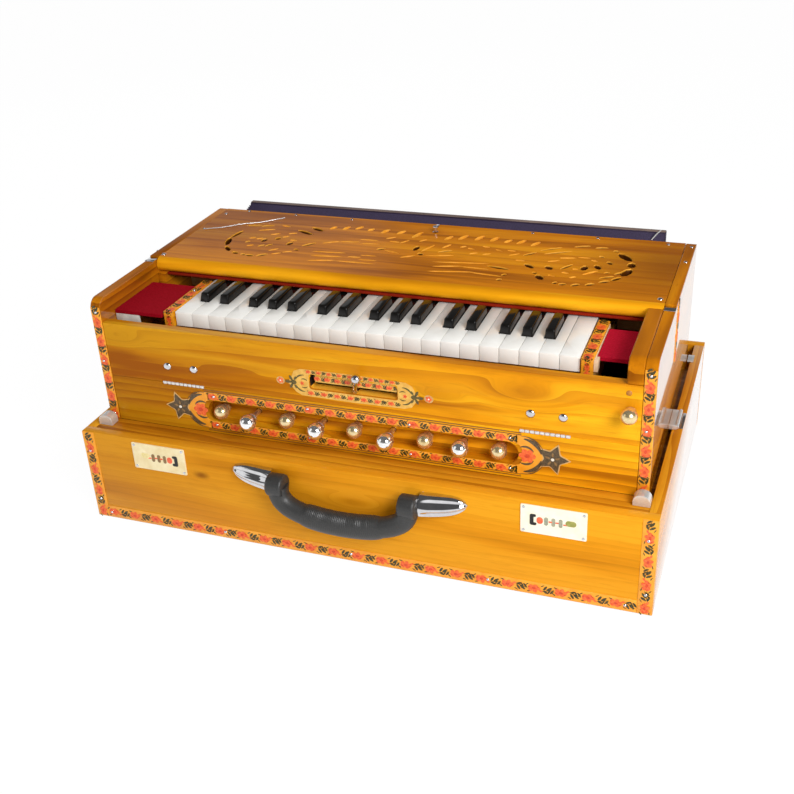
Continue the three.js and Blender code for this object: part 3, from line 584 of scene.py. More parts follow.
for side, end in sides:
    outer = board("body_side_" + end, (side * body_half, body_front, 108), (side * 316, body_back, body_top), edge=0)
    with whole_mesh():
        bpy.ops.mesh.bisect(plane_co=(0, arm_step / 1000, 0), plane_no=(0, 1, 0))
        bpy.ops.mesh.select_all(action="DESELECT")
    for point in outer.data.vertices:
        if point.co.z > 0.2 and point.co.y < arm_step / 1000 + 1e-5:
            point.co.z = arm_top / 1000
    bpy.context.tool_settings.mesh_select_mode = (False, False, True)
    for face in outer.data.polygons:
        face.select = face.normal.z > 0.5 and face.center.y > arm_step / 1000
    bpy.ops.object.mode_set(mode="EDIT")
    bpy.ops.mesh.extrude_region_move(TRANSFORM_OT_translate={"value": (0, 0, 0)})
    bpy.ops.object.mode_set(mode="OBJECT")
    for point in outer.data.vertices:
        if point.select:
            point.co.z = body_top / 1000
    with whole_mesh():
        bpy.ops.mesh.remove_doubles(threshold=0.00001)
        bpy.ops.mesh.normals_make_consistent(inside=False)
    round_edges(outer, arm_nose, 12, 10)
    soften(outer, 0.8, 30)
    dress(outer, teak_body, node="carcass")
arm = board("cheek_arm_right", (287, body_front, 243.3), (303.4, -43.3, arm_top), edge=0)
round_edges(arm, arm_nose, 12, 12)
soften(arm, 1.6, 30, 3)
dress(arm, teak_body, node="carcass")
boards = [("cheek_arm_foot", (287, -156.4, 176.2), (303.4, -43.3, 245), 0.8, teak_body),
          ("body_bottom", (-body_half, body_front, 108), (body_half, body_back, 118), 0.8, teak_inside),
          ("body_back", (-body_half, 134, 118), (body_half, body_back, 254.3), 0.8, teak_inside),
          ("cross_rail_front", (-body_half, -132.7, 188), (292.5, -112.7, 204.7), 0.8, teak_inside),
          ("cross_rail_rear", (-292.5, -10.5, 188), (292.5, 6.5, 204.7), 0.8, teak_inside)]
for side, end in sides:
    inner, outer, cleat = side * 292.5, side * 303.4, side * 280.5
    boards += [("cheek_foot_" + end, (inner, -146.4, 118), (outer, 134, 176.1), 0.8, teak_body),
               ("cheek_rear_" + end, (inner, -43.3, 176.2), (outer, 134, 254.3), 0.8, teak_body),
               ("reed_cleat_" + end, (cleat, 11.5, 203.9), (inner, 134, 215.9), 0.6, teak_inside)]
for name, low, high, edge, wood in boards:
    dress(board(name, low, high, edge), wood, node="carcass")
for side, end in sides:
    x = side * 309.7
    floral_border("post_border_" + end, (x, body_front, 119), (x, body_front, 261), 11.8, (0, -1, 0), pitch=24,
                  nails=((6, 0), (75, 1), (136, 0)))
    x = side * 316
    floral_border("side_border_" + end, (x, -18, 200), (x, -18, 270), 13, (side, 0, 0), pitch=26)


# Stop panel: a thick teak board with a long round-ended recess for the nine stops, and a painted
# border round it that ends in a medallion and a dark leaf at either end.
def carve(piece, cutters):
    """Cuts the cutters out of the piece."""
    tool = join("cutter", cutters)
    pick(piece)
    cut = piece.modifiers.new("cut", "BOOLEAN")
    cut.operation = "DIFFERENCE"
    cut.solver = "EXACT"
    cut.use_self = True
    cut.object = tool
    bpy.ops.object.modifier_apply(modifier="cut")
    bpy.data.objects.remove(tool)


fitted_half, paint_face, paint_back = 303.2, -169.2, -168.6
stop_line, stop_pitch, stop_shift = 147.25, 40.5, -2.2
# The stop panel's one broad eye pushes no lines. It is painted shade, darker towards the left where less light falls.
teak_panel = lacquered_teak(
    "lacquered teak, stop panel", "AE660A", "E89A10", "F8B41C", shift=(0.2, 0.9, 0.1), pitch=12,
    eyes=(((-300, -169, 147), (470, 60, 300), 0, 0.58),))
panel = board("stop_panel_board", (-fitted_half, body_front, 118.3), (fitted_half, -146.7, 176.2), edge=0)
cutters = [plate("cutter", (-181, -170, stop_line - 13.5), (181, -155.7, stop_line + 13.5), 13.4, 0, None, steps=12)]
cutters += [turned("cutter", ((0, 0), (0, 3.5), (20, 3.5), (20, 0)),
                   (number * stop_pitch + stop_shift, -160, stop_line), steps=16) for number in range(-4, 5)]
carve(panel, cutters)
soften(panel, 0.5, 30)
dress(panel, teak_panel, node="stop_panel")

outline_paint = finish("painted line, brown", "6A3C0C", "8E5A1A", 2, 0.4)
for row, way in (("upper", 1), ("lower", -1)):
    z = stop_line + way * 18.4
    floral_border("stop_band_" + row, (-180, body_front, z), (180, body_front, z), 9.4, (0, -1, 0), pitch=29,
                  scale=0.83, nails=((8, 0), (124, 1), (242, -1), (352, 0)))
    for shift in (5.2, 7.6):
        line = z + way * shift
        dress(board("stop_band_line", (-184, -169, line - 0.5), (184, paint_back, line + 0.5), 0), outline_paint)
light_rim = finish("painted rim, tan", "C49A58", "D8B070", 3, 0.4)
bract = finish("painted leaf, umber", "40331F", "66543A", 2, 0.4, 0.03)
blossom = finish("painted blossom, white", "E9E0CC", "FBF6EA", 2, 0.4, 0.02)


def stand(piece, centre, flip=1, body=None):
    """Turns a flat ornament up into the front plane, with its place in its mesh."""
    pick(piece)
    bpy.ops.object.transform_apply(location=True, rotation=True, scale=True)
    place = Matrix(((flip, 0, 0, centre[0] / 1000), (0, 0, -1, centre[1] / 1000),
                    (0, 1, 0, centre[2] / 1000), (0, 0, 0, 1)))
    piece.data.transform(place)
    if flip < 0:
        piece.data.flip_normals()
    return dress(piece, body=body)


def sawn(name, outline, front, back, paint):
    """A flat piece in the front plane, sawn to an outline of points in mm, between two depths."""
    bpy.ops.object.select_all(action="DESELECT")
    bpy.ops.mesh.primitive_cylinder_add(vertices=len(outline), radius=1, depth=2)
    piece = bpy.context.object
    piece.name = name
    for number, point in enumerate(piece.data.vertices):
        x, z = outline[number // 2]
        point.co = Vector((x, front if point.co.z > 0 else back, z)) / 1000
    with whole_mesh():
        bpy.ops.mesh.normals_make_consistent(inside=False)
    return dress(piece, paint)


def sweep(name, centre, radius, start, stop, wide, front, paint, flip=1):
    """A painted arc that is widest in its middle, between two angles in degrees."""
    outer, inner, steps = [], [], 12
    for step in range(steps + 1):
        share = step / steps
        a = math.radians(start + (stop - start) * share)
        half = wide / 2 * (0.25 + 0.75 * math.sin(share * math.pi))
        for line, r in ((outer, radius + half), (inner, radius - half)):
            line.append((centre[0] + flip * r * math.cos(a), centre[1] + r * math.sin(a)))
    return sawn(name, outer + inner[::-1], front, front + 0.2, paint)


def turns(count, first=0):
    """The angles that part a full turn in count, each with its number."""
    return [(number, number * math.pi * 2 / count + first) for number in range(count)]


star_x, flower_x = 217, 190.5
for side, end in sides:
    arch = [(178, 170.5), (189, 170), (198, 165), (206, 158), (211, 151), (214, 147), (211, 143), (206, 136),
            (198, 129.5), (189, 124.5), (178, 124), (178, 134)]
    arch += [(178 + 8 * math.cos(math.radians(a)), stop_line + 13.6 * math.sin(math.radians(a)))
             for a in (-60, -30, 0, 30, 60)]
    arch.append((178, 160.5))
    parts = [sawn("arch", [(side * x, z) for x, z in arch], paint_face, paint_back, veneer)]
    for x, radius, start, stop, wide in (
            (186, 19.5, 12, 88, 4.4), (186, 22.6, 22, 96, 1.0), (188, 10.5, 30, 120, 2.4)):
        for a, b in ((start, stop), (-stop, -start)):
            parts.append(sweep("arc", (side * x, stop_line), radius, a, b, wide, -169.45, bract, side))
    for name, share, front, back, paint in (("star_rim", 1, -169.25, paint_back, light_rim),
                                            ("star", 0.88, -169.45, paint_face, bract)):
        star = []
        for number in range(40):
            a = math.radians(number * 9)
            reach = 19 * share * (1 - 0.46 * abs(math.sin(2.5 * a)) ** 0.85)
            star.append((side * (star_x + reach * math.cos(a)), stop_line + reach * math.sin(a)))
        parts.append(sawn(name, star, front, back, paint))
    dress(join("stop_band_end_" + end, parts), body="case")
    dabs = [dab(petal_paint, (5.4 * math.cos(a), 4.8 * math.sin(a)), (7.4, 6.4), math.degrees(a), 10, 0.1 + 0.01 * i)
            for i, a in turns(6)]
    dabs.append(dab(petal_heart, (0, 0), (6, 5), 0, 10, 0.4))
    dabs += [dab(umber, (star_x - flower_x + 5.4 * math.cos(a), 5.4 * math.sin(a)), (5.4, 2.2), math.degrees(a), 8,
                 0.35 + 0.01 * i) for i, a in turns(5, 0.3)]
    dabs.append(dab(blossom, (star_x - flower_x, 0), (3.8, 3.4), 0, 8, 0.5))
    stand(join("stop_band_flower_" + end, dabs), (side * flower_x, paint_face, 147), side, "case")

# Brass that fingers have worn pale under its lacquer, and nickel plate as bright as a mirror.
brass = finish("lacquered brass, worn pale", "E2C68C", "F6E2B4", 7, 0.22, 0.004, Metallic=0.85)
nickel = finish("bright nickel plate", "F2F2F0", "FBFBFA", 7, 0.07, 0.004, Metallic=0.95)
drawn = {2: 15, 4: 12, 6: 13, 8: 6}


def ball(r, degrees, count):
    """The profile of a ball of radius r, from its front pole back, in count steps of so many degrees."""
    turns = [math.radians(step * degrees) for step in range(1, count)]
    return [(-r, 0)] + [(-r * math.cos(a), r * math.sin(a)) for a in turns]


for number in range(1, 10):
    bright = number in drawn
    r = 9.6 if bright else 8.8
    profile = ball(r, 10.4, 15) + [(r * 0.9, 4.9), (r * 0.98, 5.2), (r + 0.7, 5.9), (11.6, 5.9), (12.3, 5.1),
                                   (12.6, 3), (92, 3), (92, 0)]
    centre = ((number - 5) * stop_pitch + stop_shift, body_front - drawn.get(number, 0), stop_line)
    knob = turned("stop_%d" % number, profile, centre, steps=32)
    dress(knob, nickel if bright else brass, "stop_%d" % number,
          "stop_knob_%d" % number)


# Front board: the fold-down board above the seam, with the slot of the scale lever, its painted
# surround, strip hinges on the seam, round screws, a plugged hole and the coupler.
# Of the front board's eyes, the first four swirl the figure. The last, broad one pushes no lines and is painted
# shade, darker towards the left where less light falls.
teak_fall = lacquered_teak(
    "lacquered teak, front board", "B0620C", "E49612", "F8B620", shift=(0.5, 0.1, 0.6), figure=0.75, pitch=17,
    eyes=(((186, -169, 216), (74, 40, 24), 22, 0.12), ((100, -169, 204), (44, 40, 12), 14, 0.1),
          ((-285, -169, 228), (44, 40, 16), 22, 0.1), ((-150, -169, 207), (90, 40, 10), -8, 0.08),
          ((-303, -169, 210), (480, 60, 300), 0, 0.42)))
fall = board("front_fall_board", (-fitted_half, body_front, 176.5), (fitted_half, -156.7, 243), edge=0)
cutters = [plate("cutter", (-50, -172, 193.45), (50, -150, 208.85), 4, 0, None)]
cutters += [turned("cutter", ((0, 0), (0, 3.6), (24, 3.6), (24, 0)), (3.8 + number * 12.25, -173, 208.85), steps=16)
            for number in range(-4, 4)]
cutters.append(turned("cutter", ((0, 0), (0, 3), (24, 3), (24, 0)), (292.6, -173, 214.8), steps=16))
carve(fall, cutters)
soften(fall, 0.6, 30)
# The slot's sill gets a paler copy of the teak, painted light, and its left end wall a near-black, painted shadow.
for paint in (teak_fall, finish("lacquered teak, slot's sill", "E89A20", "F8B434", 12, 0.3, 0, (0.3, 1, 1)),
              finish("slot's end, inked", "160C04", "22140A", 6, 0.6)):
    dress(fall, paint)
# Inside the slot, faces that look up take the painted light. Faces that look right, on its left end, take the painted
# shadow.
for face in fall.data.polygons:
    x, y, z = face.center * 1000
    if abs(x) < 50.5 and -168.2 < y < -157.2 and 193 < z < 215:
        face.material_index = 1 if face.normal.z > 0.5 else 2 if face.normal.x > 0.3 else 0
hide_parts("front_board")

gold = finish("painted gold ground", "D8A03C", "EDBE5C", 5, 0.4, 0.02)
moss = finish("painted leaf, moss", "4A3E12", "6C5C24", 2, 0.4, 0.02)
rim = [(-77, 198), (-72, 203), (-68, 212), (-60, 215.5), (0, 216), (60, 214.5), (67, 211), (71, 203), (77, 198),
       (71, 193), (66, 186), (58, 183.5), (0, 182.6), (-60, 183.5), (-67, 187), (-72, 193)]
surround = sawn("slot_surround", rim, paint_face, paint_back, gold)
carve(surround, [plate("cutter", (-51, -172, 192), (51, -160, 210.5), 3, 0, None)])
dress(surround, body="case")
for row, z, scale in (("low", 187.6, 0.5), ("high", 213.2, 0.4)):
    floral_border("slot_border_" + row, (-54, paint_face, z), (54, paint_face, z), 8, (0, -1, 0), pitch=29,
                  scale=scale, ground=False, thick=0)
floral_border("slot_lining", (-44.5, -166.4, 204.8), (50, -166.4, 204.8), 8.6, (0, -1, 0), pitch=24, scale=0.5,
              thick=0.4, sheet=gold)
for side, end in sides:
    parts = [sweep("arc", (side * 57, 198.5), radius, start, stop, wide, -169.4, moss, side)
             for radius, start, stop, wide in ((10, 20, 95, 1.8), (10, -95, -20, 1.8), (5.4, 60, 140, 1.2),
                                               (5.4, -140, -60, 1.2))]
    for at, size, turn in (((72, 4.6), (7, 3), 62), ((72, -4.6), (7, 3), -62), ((75.5, 0), (8, 3.6), 0),
                           ((69, 0), (7, 5.6), 0), ((67, 5), (5, 2.4), 120), ((67, -5), (5, 2.4), -120)):
        parts.append(stand(dab(moss, (0, 0), size, turn, 8), (side * at[0], paint_face, 198.5 + at[1]), side))
    dress(join("slot_leaf_" + end, parts), body="case")
    for name, x, size in (("slot_bud_", 59, 0.62), ("slot_flower_", 85, 1.0)):
        dabs = [dab(petal_paint, (2.2 * size * math.cos(a), 2.2 * size * math.sin(a)), (3.4 * size, 2.6 * size),
                    math.degrees(a), 8, 0.1 + 0.02 * i) for i, a in turns(5)]
        if x == 85:
            dabs.append(dab(light_rim, (0, 0), (10, 9), 0, 16, 0, 0.08))
        dabs.append(dab(blossom if x == 85 else petal_heart, (0, 0), (1.8, 1.8), 0, 8, 0.3))
        stand(join(name + end, dabs), (side * x, paint_face if x == 59 else body_front, 198.5), side, "case")

    near = 182 if side > 0 else -235
    knuckles = [board("seam_knuckle", (x, -170.2, 174.6), (x + 4.9, -168.5, 178.2), 0.8, None)
                for x in [near + i * 5.3 for i in range(10)]]
    dress(join("seam_hinge_" + end, knuckles), satin, "case")
    profile = ((-2.2, 0), (-2.1, 1.8), (-1.5, 3.6), (-0.6, 4.7), (0.3, 5))
    screws = [turned("screw", profile, (side * x, -168.8, 197), steps=20) for x in (193, 226.5)]
    dress(join("front_screws_" + end, screws), chrome, "case")
plug = turned("front_plug", ((-0.8, 0), (-0.7, 2.2), (-0.2, 2.9), (0.4, 3)), (290, -168.8, 234), steps=18)
dress(plug, finish("turned teak plug", "A8681C", "C08030", 3, 0.4, 0.03), "case")

profile = ball(8.5, 10.6, 15) + [(7.9, 4.7), (9, 5.7), (10.4, 5.6), (11.2, 4.6), (11.3, 2.5), (40.5, 2.5), (40.5, 0)]
dress(turned("coupler_ball", profile, (292.6, -180.4, 214.8), steps=32), brass, "coupler", "coupler_knob")


# Keyboard frame: the sliding frame under the keys, with a front rail, a ridged balance rail with a
# steel pin for each key, and two end blocks whose tops carry the painted border. Plain shellacked
# pale wood. The scale lever is a bent chrome rod with a ball, on a bracket under the front rail.
shellac = lacquered_teak("shellacked pale wood", "8A5A24", "B07A3A", "C79456", "X", "Z", (0.4, 0.4, 0.9), 0.6)
for name, low, high in (
    ("keyboard_front_rail", (-228.6, -132.7, 205), (236.2, -112.7, 224.5)),
    ("keyboard_balance_rail", (-228.6, -10.5, 205), (236.2, 6.5, 232.6)),
):
    rail = board(name, low, high, edge=0, body="keyboard")
    if name.endswith("balance_rail"):
        round_edges(rail, lambda a, b: a.z > 232 and b.z > 232 and abs(a.y - b.y) < 1, 5.5, 1)
    soften(rail, 0.5)
    dress(rail, shellac, node="key_frame")
for end, x0, x1 in (("left", -241.33, -228.73), ("right", 236.33, 248.93)):
    for name, low, high, wood in (
        ("keyboard_side_" + end, (x0, -132.7, 205), (x1, 6.5, 232.3), shellac),
        ("keyboard_block_" + end, (x0, -137.5, 232.4), (x1, -43, 249.6), teak_panel),
    ):
        dress(board(name, low, high, 0.6, "keyboard"), wood, node="key_frame")
    middle = (x0 + x1) / 2
    floral_border("block_border_" + end, (middle, -137.4, 249.6), (middle, -43, 249.6), 12.2, (0, 0, 1),
                  body="keyboard", pitch=24, nails=((3, 0),))
    floral_border("block_face_" + end, (middle, -137.5, 232.8), (middle, -137.5, 249.3), 12, (0, -1, 0),
                  body="keyboard", pitch=14, scale=0.6)
steel = finish("drawn steel", "9A9A9C", "B8B8BA", 5, 0.3, 0.003, Metallic=1)
pins = []
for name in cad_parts:
    if name.startswith("key_") and name != "key_frame":
        low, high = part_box(name)
        pins.append(turned("balance_pin", ((232, 0), (232, 1.2), (239.6, 1.2), (240.4, 0.8), (240.5, 0)),
                           ((low.x + high.x) * 500, -2, 0), (0, 0, 1), 10))
dress(join("balance_pins", pins), steel, "keyboard", node="key_frame")

bracket = board("lever_bracket", (-5.2, -138, 193.4), (12.8, -133.1, 214), 0.6, "keyboard")
dress(bracket, steel, node="key_frame")
route = [Vector(p) for p in ((3.8, -137.6, 197.3), (3.8, -160, 197.3), (3.8, -169.8, 197.3), (3.8, -172.2, 198.6),
                             (4.6, -174.6, 203), (8, -178.2, 214))]


def lever_point(t, u):
    """The rod's skin: t runs along its route, with one ring at each bend, and u round it."""
    place = t * (len(route) - 1)
    step = min(len(route) - 2, int(place))
    along = (route[step + 1] - route[step]).normalized()
    if 0 < step and place - step < 0.01:
        along = (route[step + 1] - route[step - 1]).normalized()
    upward = along.cross(Vector((1, 0, 0))).normalized()
    turn = u * 2 * math.pi
    spoke = (Vector((1, 0, 0)) * math.cos(turn) + upward * math.sin(turn)) * 2.6
    return route[step].lerp(route[step + 1], place - step) + spoke


rod = formed("scale_lever_rod", 5, 20, lever_point)
tip = turned("scale_lever_ball", ball(5.5, 12, 15) + [(5.5, 0)], (8.4, -178.6, 216.8), (0, -0.5, 1), 28)
dress(join("scale_lever", [rod, tip]), chrome, "keyboard", "key_frame")


# Keys: sawn from pale wood, with their edges broken. The whites are faced with polished cast
# acrylic, and the blacks are ebonised and polished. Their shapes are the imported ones.
acrylic = finish("polished acrylic, warm white", "F2EFE8", "F8F6F1", 25, 0.16, IOR=1.49)
ebony = finish("polished ebonised wood", "0C0B0A", "161412", 4, 0.1, 0.002, (1, 0.1, 1), Specular_IOR_Level=0.3)
for name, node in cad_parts.items():
    if not name.startswith("key_") or name == "key_frame":
        continue
    is_black = name.split("_")[2] in ("cs", "ds", "fs", "gs", "as")
    key = bpy.data.objects.new(name + "_faced", bpy.data.objects[name].data.copy())
    bpy.context.collection.objects.link(key)
    key.data.materials.clear()
    pick(key)
    with whole_mesh():
        bpy.ops.mesh.remove_doubles(threshold=0.00001)
        bpy.ops.mesh.dissolve_limited(angle_limit=math.radians(1))
        bpy.ops.mesh.normals_make_consistent(inside=False)
    if is_black:
        round_edges(key, lambda a, b: min(a.z, b.z) > 249 and max(a.z, b.z) > 255, 2.1, 5)
    soften(key, 0.3, 30, 2)
    dress(key, ebony if is_black else acrylic, name, name)


# Felt: crimson baize on the boards either side of the keyboard, and a maroon strip under the front
# of the cover. The boards lie loose between the cheek and the frame, which slides towards them.
def baize(name, deep, pale):
    """Pressed wool felt: matt, with a fuzz that catches light at a low angle. Fibres drawn at 1.5 mm."""
    felt = finish(name, deep, pale, 1.5, 0.95, 0.3)
    fill(felt.node_tree, felt.node_tree.nodes["Principled BSDF"],
         {"Sheen Weight": 0.12, "Sheen Roughness": 0.5, "Sheen Tint": colour("C02030"), "Specular IOR Level": 0.08})
    return felt


crimson = baize("wool felt, crimson", "84000F", "9C0A1E")
# The right board's felt is the same crimson made brighter: painted light, on the side where the lamp falls.
crimson_lit = baize("wool felt, scarlet", "A60A22", "C01432")
maroon = baize("wool felt, rust", "7C1A08", "94260E")
for end, still, moving, front, cloth in (("left", -303, -241.8, -142, crimson),
                                         ("right", 286.7, 250.6, -126, crimson_lit)):
    felt = board("felt_board_" + end, (still, front, 243.5), (moving, -58, 248), 0, body=None)
    with whole_mesh():
        bpy.ops.mesh.subdivide(number_cuts=12)
    soften(felt, 0.8, 60)
    dress(felt, cloth)
    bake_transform(felt)
primer = finish("white primer", "C9C4BC", "E2DED6", 9, 0.6)
dress(board("felt_ledge_left", (-302.9, -141.5, 233), (-272, -139, 243.3), 0.4), primer)
batten = join("block_batten", [board("batten", (249.1, -137.2, 236), (250.1, -48, 249), 0.2, None),
                               board("batten", (249.2, -137.1, 236), (253.4, -126.6, 248.4), 0.3, None)])
dress(batten, finish("planed maple", "E2BC94", "F2D4B0", 8, 0.5, 0.02, (1, 0.2, 1)))
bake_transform(batten)
dress(board("cover_felt", (-292, -40.5, 251.8), (292, -30, 254.7), 0.7), maroon)


# Reed board: planed cedar, left bare inside the body. It has a slot for each note, which the key's
# pad shuts, and the reed plates are fixed under it, out of sight.
bare = lacquered_teak("planed cedar, bare", "9A6E3C", "BC8E54", "CDA46C", "X", "Y", (0.1, 0.5, 0.5), 0.5)
reeds = bpy.data.objects["reed_board"]
reeds.data.materials.clear()
reeds.data.materials.append(bare)


# Top cover: a teak board with a bullnose front, carved with two rosettes, a row of leaves, rows of
# long gouge cuts and a small flower in the middle. It is held by screws and pinned with nails.
teak_cover = lacquered_teak(
    "lacquered teak, cover", "9A5404", "CE7A06", "E4940C", "X", "Y", (0.6, 0.2, 0.3), 0.7, 26, gloss=0.06,
    eyes=(((305, 70, 272), (150, 160, 60), 0, 0.7), ((-290, 80, 272), (240, 150, 60), 0, 0.55)))
# The bullnose has a brighter copy of the cover's teak, a painted highlight. Two broad eyes darken its top and bottom
# as painted shade, so that a bright band runs along its middle.
teak_nose_lit = lacquered_teak(
    "lacquered teak, cover's front", "D88C0E", "F6A814", "FFBE24", "X", "Z", (0.6, 0.2, 0.3), 0.4, gloss=0.1,
    eyes=(((0, -40, 273.5), (900, 60, 8), 0, 0.4), ((0, -40, 253.5), (900, 60, 8), 0, 0.45)))
# The cuts go through the lacquer. Their walls are paler than the board, partly the fresh wood and
# partly a painted highlight. In the wide ones the colour turns dark from half a millimetre down:
# painted shade in the depth of the cut.
gouged, pierced_painted_shade = [finish("gouged teak, " + how, "DE9420", "F4B040", 5, 0.3, 0.03, (0.3, 1, 1),
                          Specular_IOR_Level=0.15) for how in ("scooped", "stain pooled")]
tree = pierced_painted_shade.node_tree
surface = tree.nodes["Principled BSDF"]
lip = surface.inputs["Base Color"].links[0].from_socket
place = add(tree, "ShaderNodeSeparateXYZ", {}, {0: add(tree, "ShaderNodeTexCoord").outputs["Object"]})
depth = add(tree, "ShaderNodeMapRange", {}, {0: place.outputs[2], 1: 0.2721, 2: 0.2707, 3: 0, 4: 1})
depth_shade = add(tree, "ShaderNodeMix", {"data_type": "RGBA"}, {0: depth.outputs[0], 6: lip, 7: colour("4A2404")})
fill(tree, surface, {"Base Color": depth_shade.outputs[2]})
cover = board("top_cover_board", (-fitted_half, -43, 254.6), (fitted_half, body_back, body_top), edge=0)
round_edges(cover, lambda a, b: a.y < -42 and b.y < -42 and abs(a.x - b.x) > 1, 8.9, 18)


def gouge(x, y, long, wide, turn):
    """One gouge cut, as the air that it leaves: an outline of eight corners with steep walls. The
    wider the cut, the deeper."""
    bpy.ops.object.select_all(action="DESELECT")
    bpy.ops.mesh.primitive_cylinder_add(vertices=8, radius=1, depth=2)
    cut = bpy.context.object
    long, wide = long * 1.1, wide * 1.3 + 0.6
    deep, lean = 1.4 + 0.75 * wide, 0.3 * wide
    for point in cut.data.vertices:
        top = point.co.z > 0
        inset = 0 if top else lean
        point.co = Vector((point.co.x * (long / 2 - inset), point.co.y * (wide / 2 - inset),
                           body_top + 0.3 if top else body_top - deep)) / 1000
    cut.data.transform(Matrix.Translation((x / 1000, y / 1000, 0)) @ Matrix.Rotation(math.radians(turn), 4, "Z"))
    return cut


places = (
    (-244, 57, 26, 5, 82), (-243, 31, 26, 6, -73), (-232, 8, 18, 5, -52), (-216, -3, 10, 5, -31),
    (-204, -6, 7, 4, -24), (-195, -7, 12, 5, -4), (-180, -3, 14, 5, 40), (-165, 6, 12, 2.5, 31),
    (-154, 14, 12, 2.5, 31), (-146, 23, 8, 4, -29), (-138, 43, 19, 4.5, 48), (-236, 92, 18, 3.5, 16),
    (-218, 94, 17, 3.5, 16), (-213, 80, 21, 3, 23), (-194, 98, 13, 3, -15), (-160, 82, 26, 6, -26),
    (-149, 96, 21, 6, -30), (-174, 75, 11, 3, 29), (-218, 35, 7, 4, 61), (-218, 49, 9, 3, 21),
    (-208, 49, 9, 3, 33), (-200, 45, 12, 6, -85), (-185, 54, 9, 6, 75), (-209, 24, 9, 3, 33),
    (-195, 26, 9, 3.5, 45), (-186, 30, 11, 3.5, 62), (-163, 41, 12, 6, 84), (-163, 52, 10, 3, -5),
    (-174, 17, 13, 2.5, 44), (-178, 62, 9, 3, 41), (-195, 68, 12, 3, 32), (-114, 56, 22, 2.5, 30),
    (-91, 63, 25, 2.5, 8), (-70, 74, 23, 2.5, 2), (-64, 62, 23, 2, 7), (-103, 24, 41, 2.6, 5),
    (-101, 11, 38, 2.6, 6), (-67, 16, 16, 2, 5), (-52, 24, 20, 2, 2), (-102, -3, 33, 2.6, 13),
    (-60, 0, 48, 2.4, 1), (-48, 10, 22, 2, 3), (-45, 48, 11, 5, 33), (-29, 42, 20, 2.6, -17),
    (-46, 87, 13, 2.6, 39), (-37, 75, 13, 2.6, -2), (-131, 105, 12, 5, 66), (-114, 108, 14, 5, 71),
    (-98, 112, 13, 5, 62), (-81, 109, 10, 5, 61), (-61, 108, 15, 5.5, 69), (-40, 108, 15, 5, 64),
    (-17, 104, 22, 5.5, 74), (24, 102, 15, 5, 68), (41, 108, 18, 5.5, 68), (61, 110, 18, 5.5, 69),
    (80, 110, 17, 5.5, 70), (98, 107, 13, 5, 61), (114, 108, 16, 5, 64), (132, 105, 17, 5, 67),
    (-5, 32, 18, 3, 34), (10, 63, 25, 2.6, 69), (33, 58, 17, 3.5, 32), (31, 43, 32, 2.6, 14),
    (-4, 60, 16, 6, 88), (7, 43, 9, 5, -48), (30, 74, 16, 3, 64), (-25, 78, 14, 2.5, 56),
    (-4, 87, 11, 2.5, 50), (62, 27, 62, 2.6, 8), (50, 13, 33, 2.6, 14), (82, 15, 31, 2.4, -2),
    (58, -2, 50, 2.6, 10), (100, -1, 36, 2.4, -6), (108, 22, 27, 5, -11), (120, 3, 7, 4, 65),
    (118, -12, 7, 4, 52), (50, 77, 8, 3, 38), (61, 73, 9, 3, -16), (77, 83, 9, 3, -12),
    (68, 59, 10, 2.5, 32), (84, 60, 10, 2.5, 32), (95, 75, 10, 2.5, -29), (110, 77, 10, 3, -6),
    (116, 66, 14, 2.5, 38), (133, 72, 18, 4, 47), (154, 93, 26, 3.5, 35), (164, 83, 32, 3.5, 28),
    (188, 109, 19, 4, 22), (211, 109, 15, 4, 13), (229, 102, 7, 4, -26), (242, 86, 27, 9, -52),
    (253, 63, 16, 8, -84), (251, 40, 23, 9, 76), (243, 19, 15, 5, 55), (232, 8, 13, 5, 34),
    (218, -3, 11, 5, 38), (203, -8, 11, 5, 43), (189, -9, 9, 5, 13), (180, -7, 8, 4, 70),
    (160, 5, 16, 7, -54), (152, 16, 7, 4, -45), (141, 35, 17, 6, -42), (127, 49, 11, 3, -4),
    (164, 35, 13, 7, -52), (179, 69, 19, 3, 13), (197, 74, 14, 2.5, 3), (165, 56, 14, 2.5, 28),
    (183, 42, 21, 3.5, 60), (203, 43, 15, 7, 85), (217, 49, 15, 6, -63), (216, 81, 7, 4, -22),
    (228, 64, 10, 5, -53), (185, 24, 8, 3, -11), (196, 13, 8, 3, 41), (212, 30, 20, 3, 46),
    (230, 34, 7, 3.5, 41), (243, 35, 11, 4, 46), (232, 21, 17, 4, 33), (172, 12, 9, 2.5, -28),
    (210, 67, 8, 3, -25), (194, 37, 7, 2.5, 1),
)
carve(cover, [gouge(*place) for place in places])
bpy.ops.object.shade_smooth_by_angle(angle=math.radians(12))
for paint in (teak_cover, gouged, teak_nose_lit, pierced_painted_shade):
    dress(cover, paint)
# Faces on the bullnose take its painted highlight. Faces in the wide cuts take the painted shade at depth, and the
# narrow cuts and the row of leaves take the paler cut colour.
for face in cover.data.polygons:
    x, y, z = face.center * 1000
    if y < -33.5 and 255 < z < 272.55:
        face.material_index = 2
    elif 256 < z < 272.55 and y < 144 and abs(x) < 300:
        nearest = min(places, key=lambda cut: math.hypot(cut[0] - x, cut[1] - y))
        face.material_index = 3 if nearest[3] > 3.2 and not (y > 99 and abs(x) < 140) else 1
dress(cover, node="top_cover")


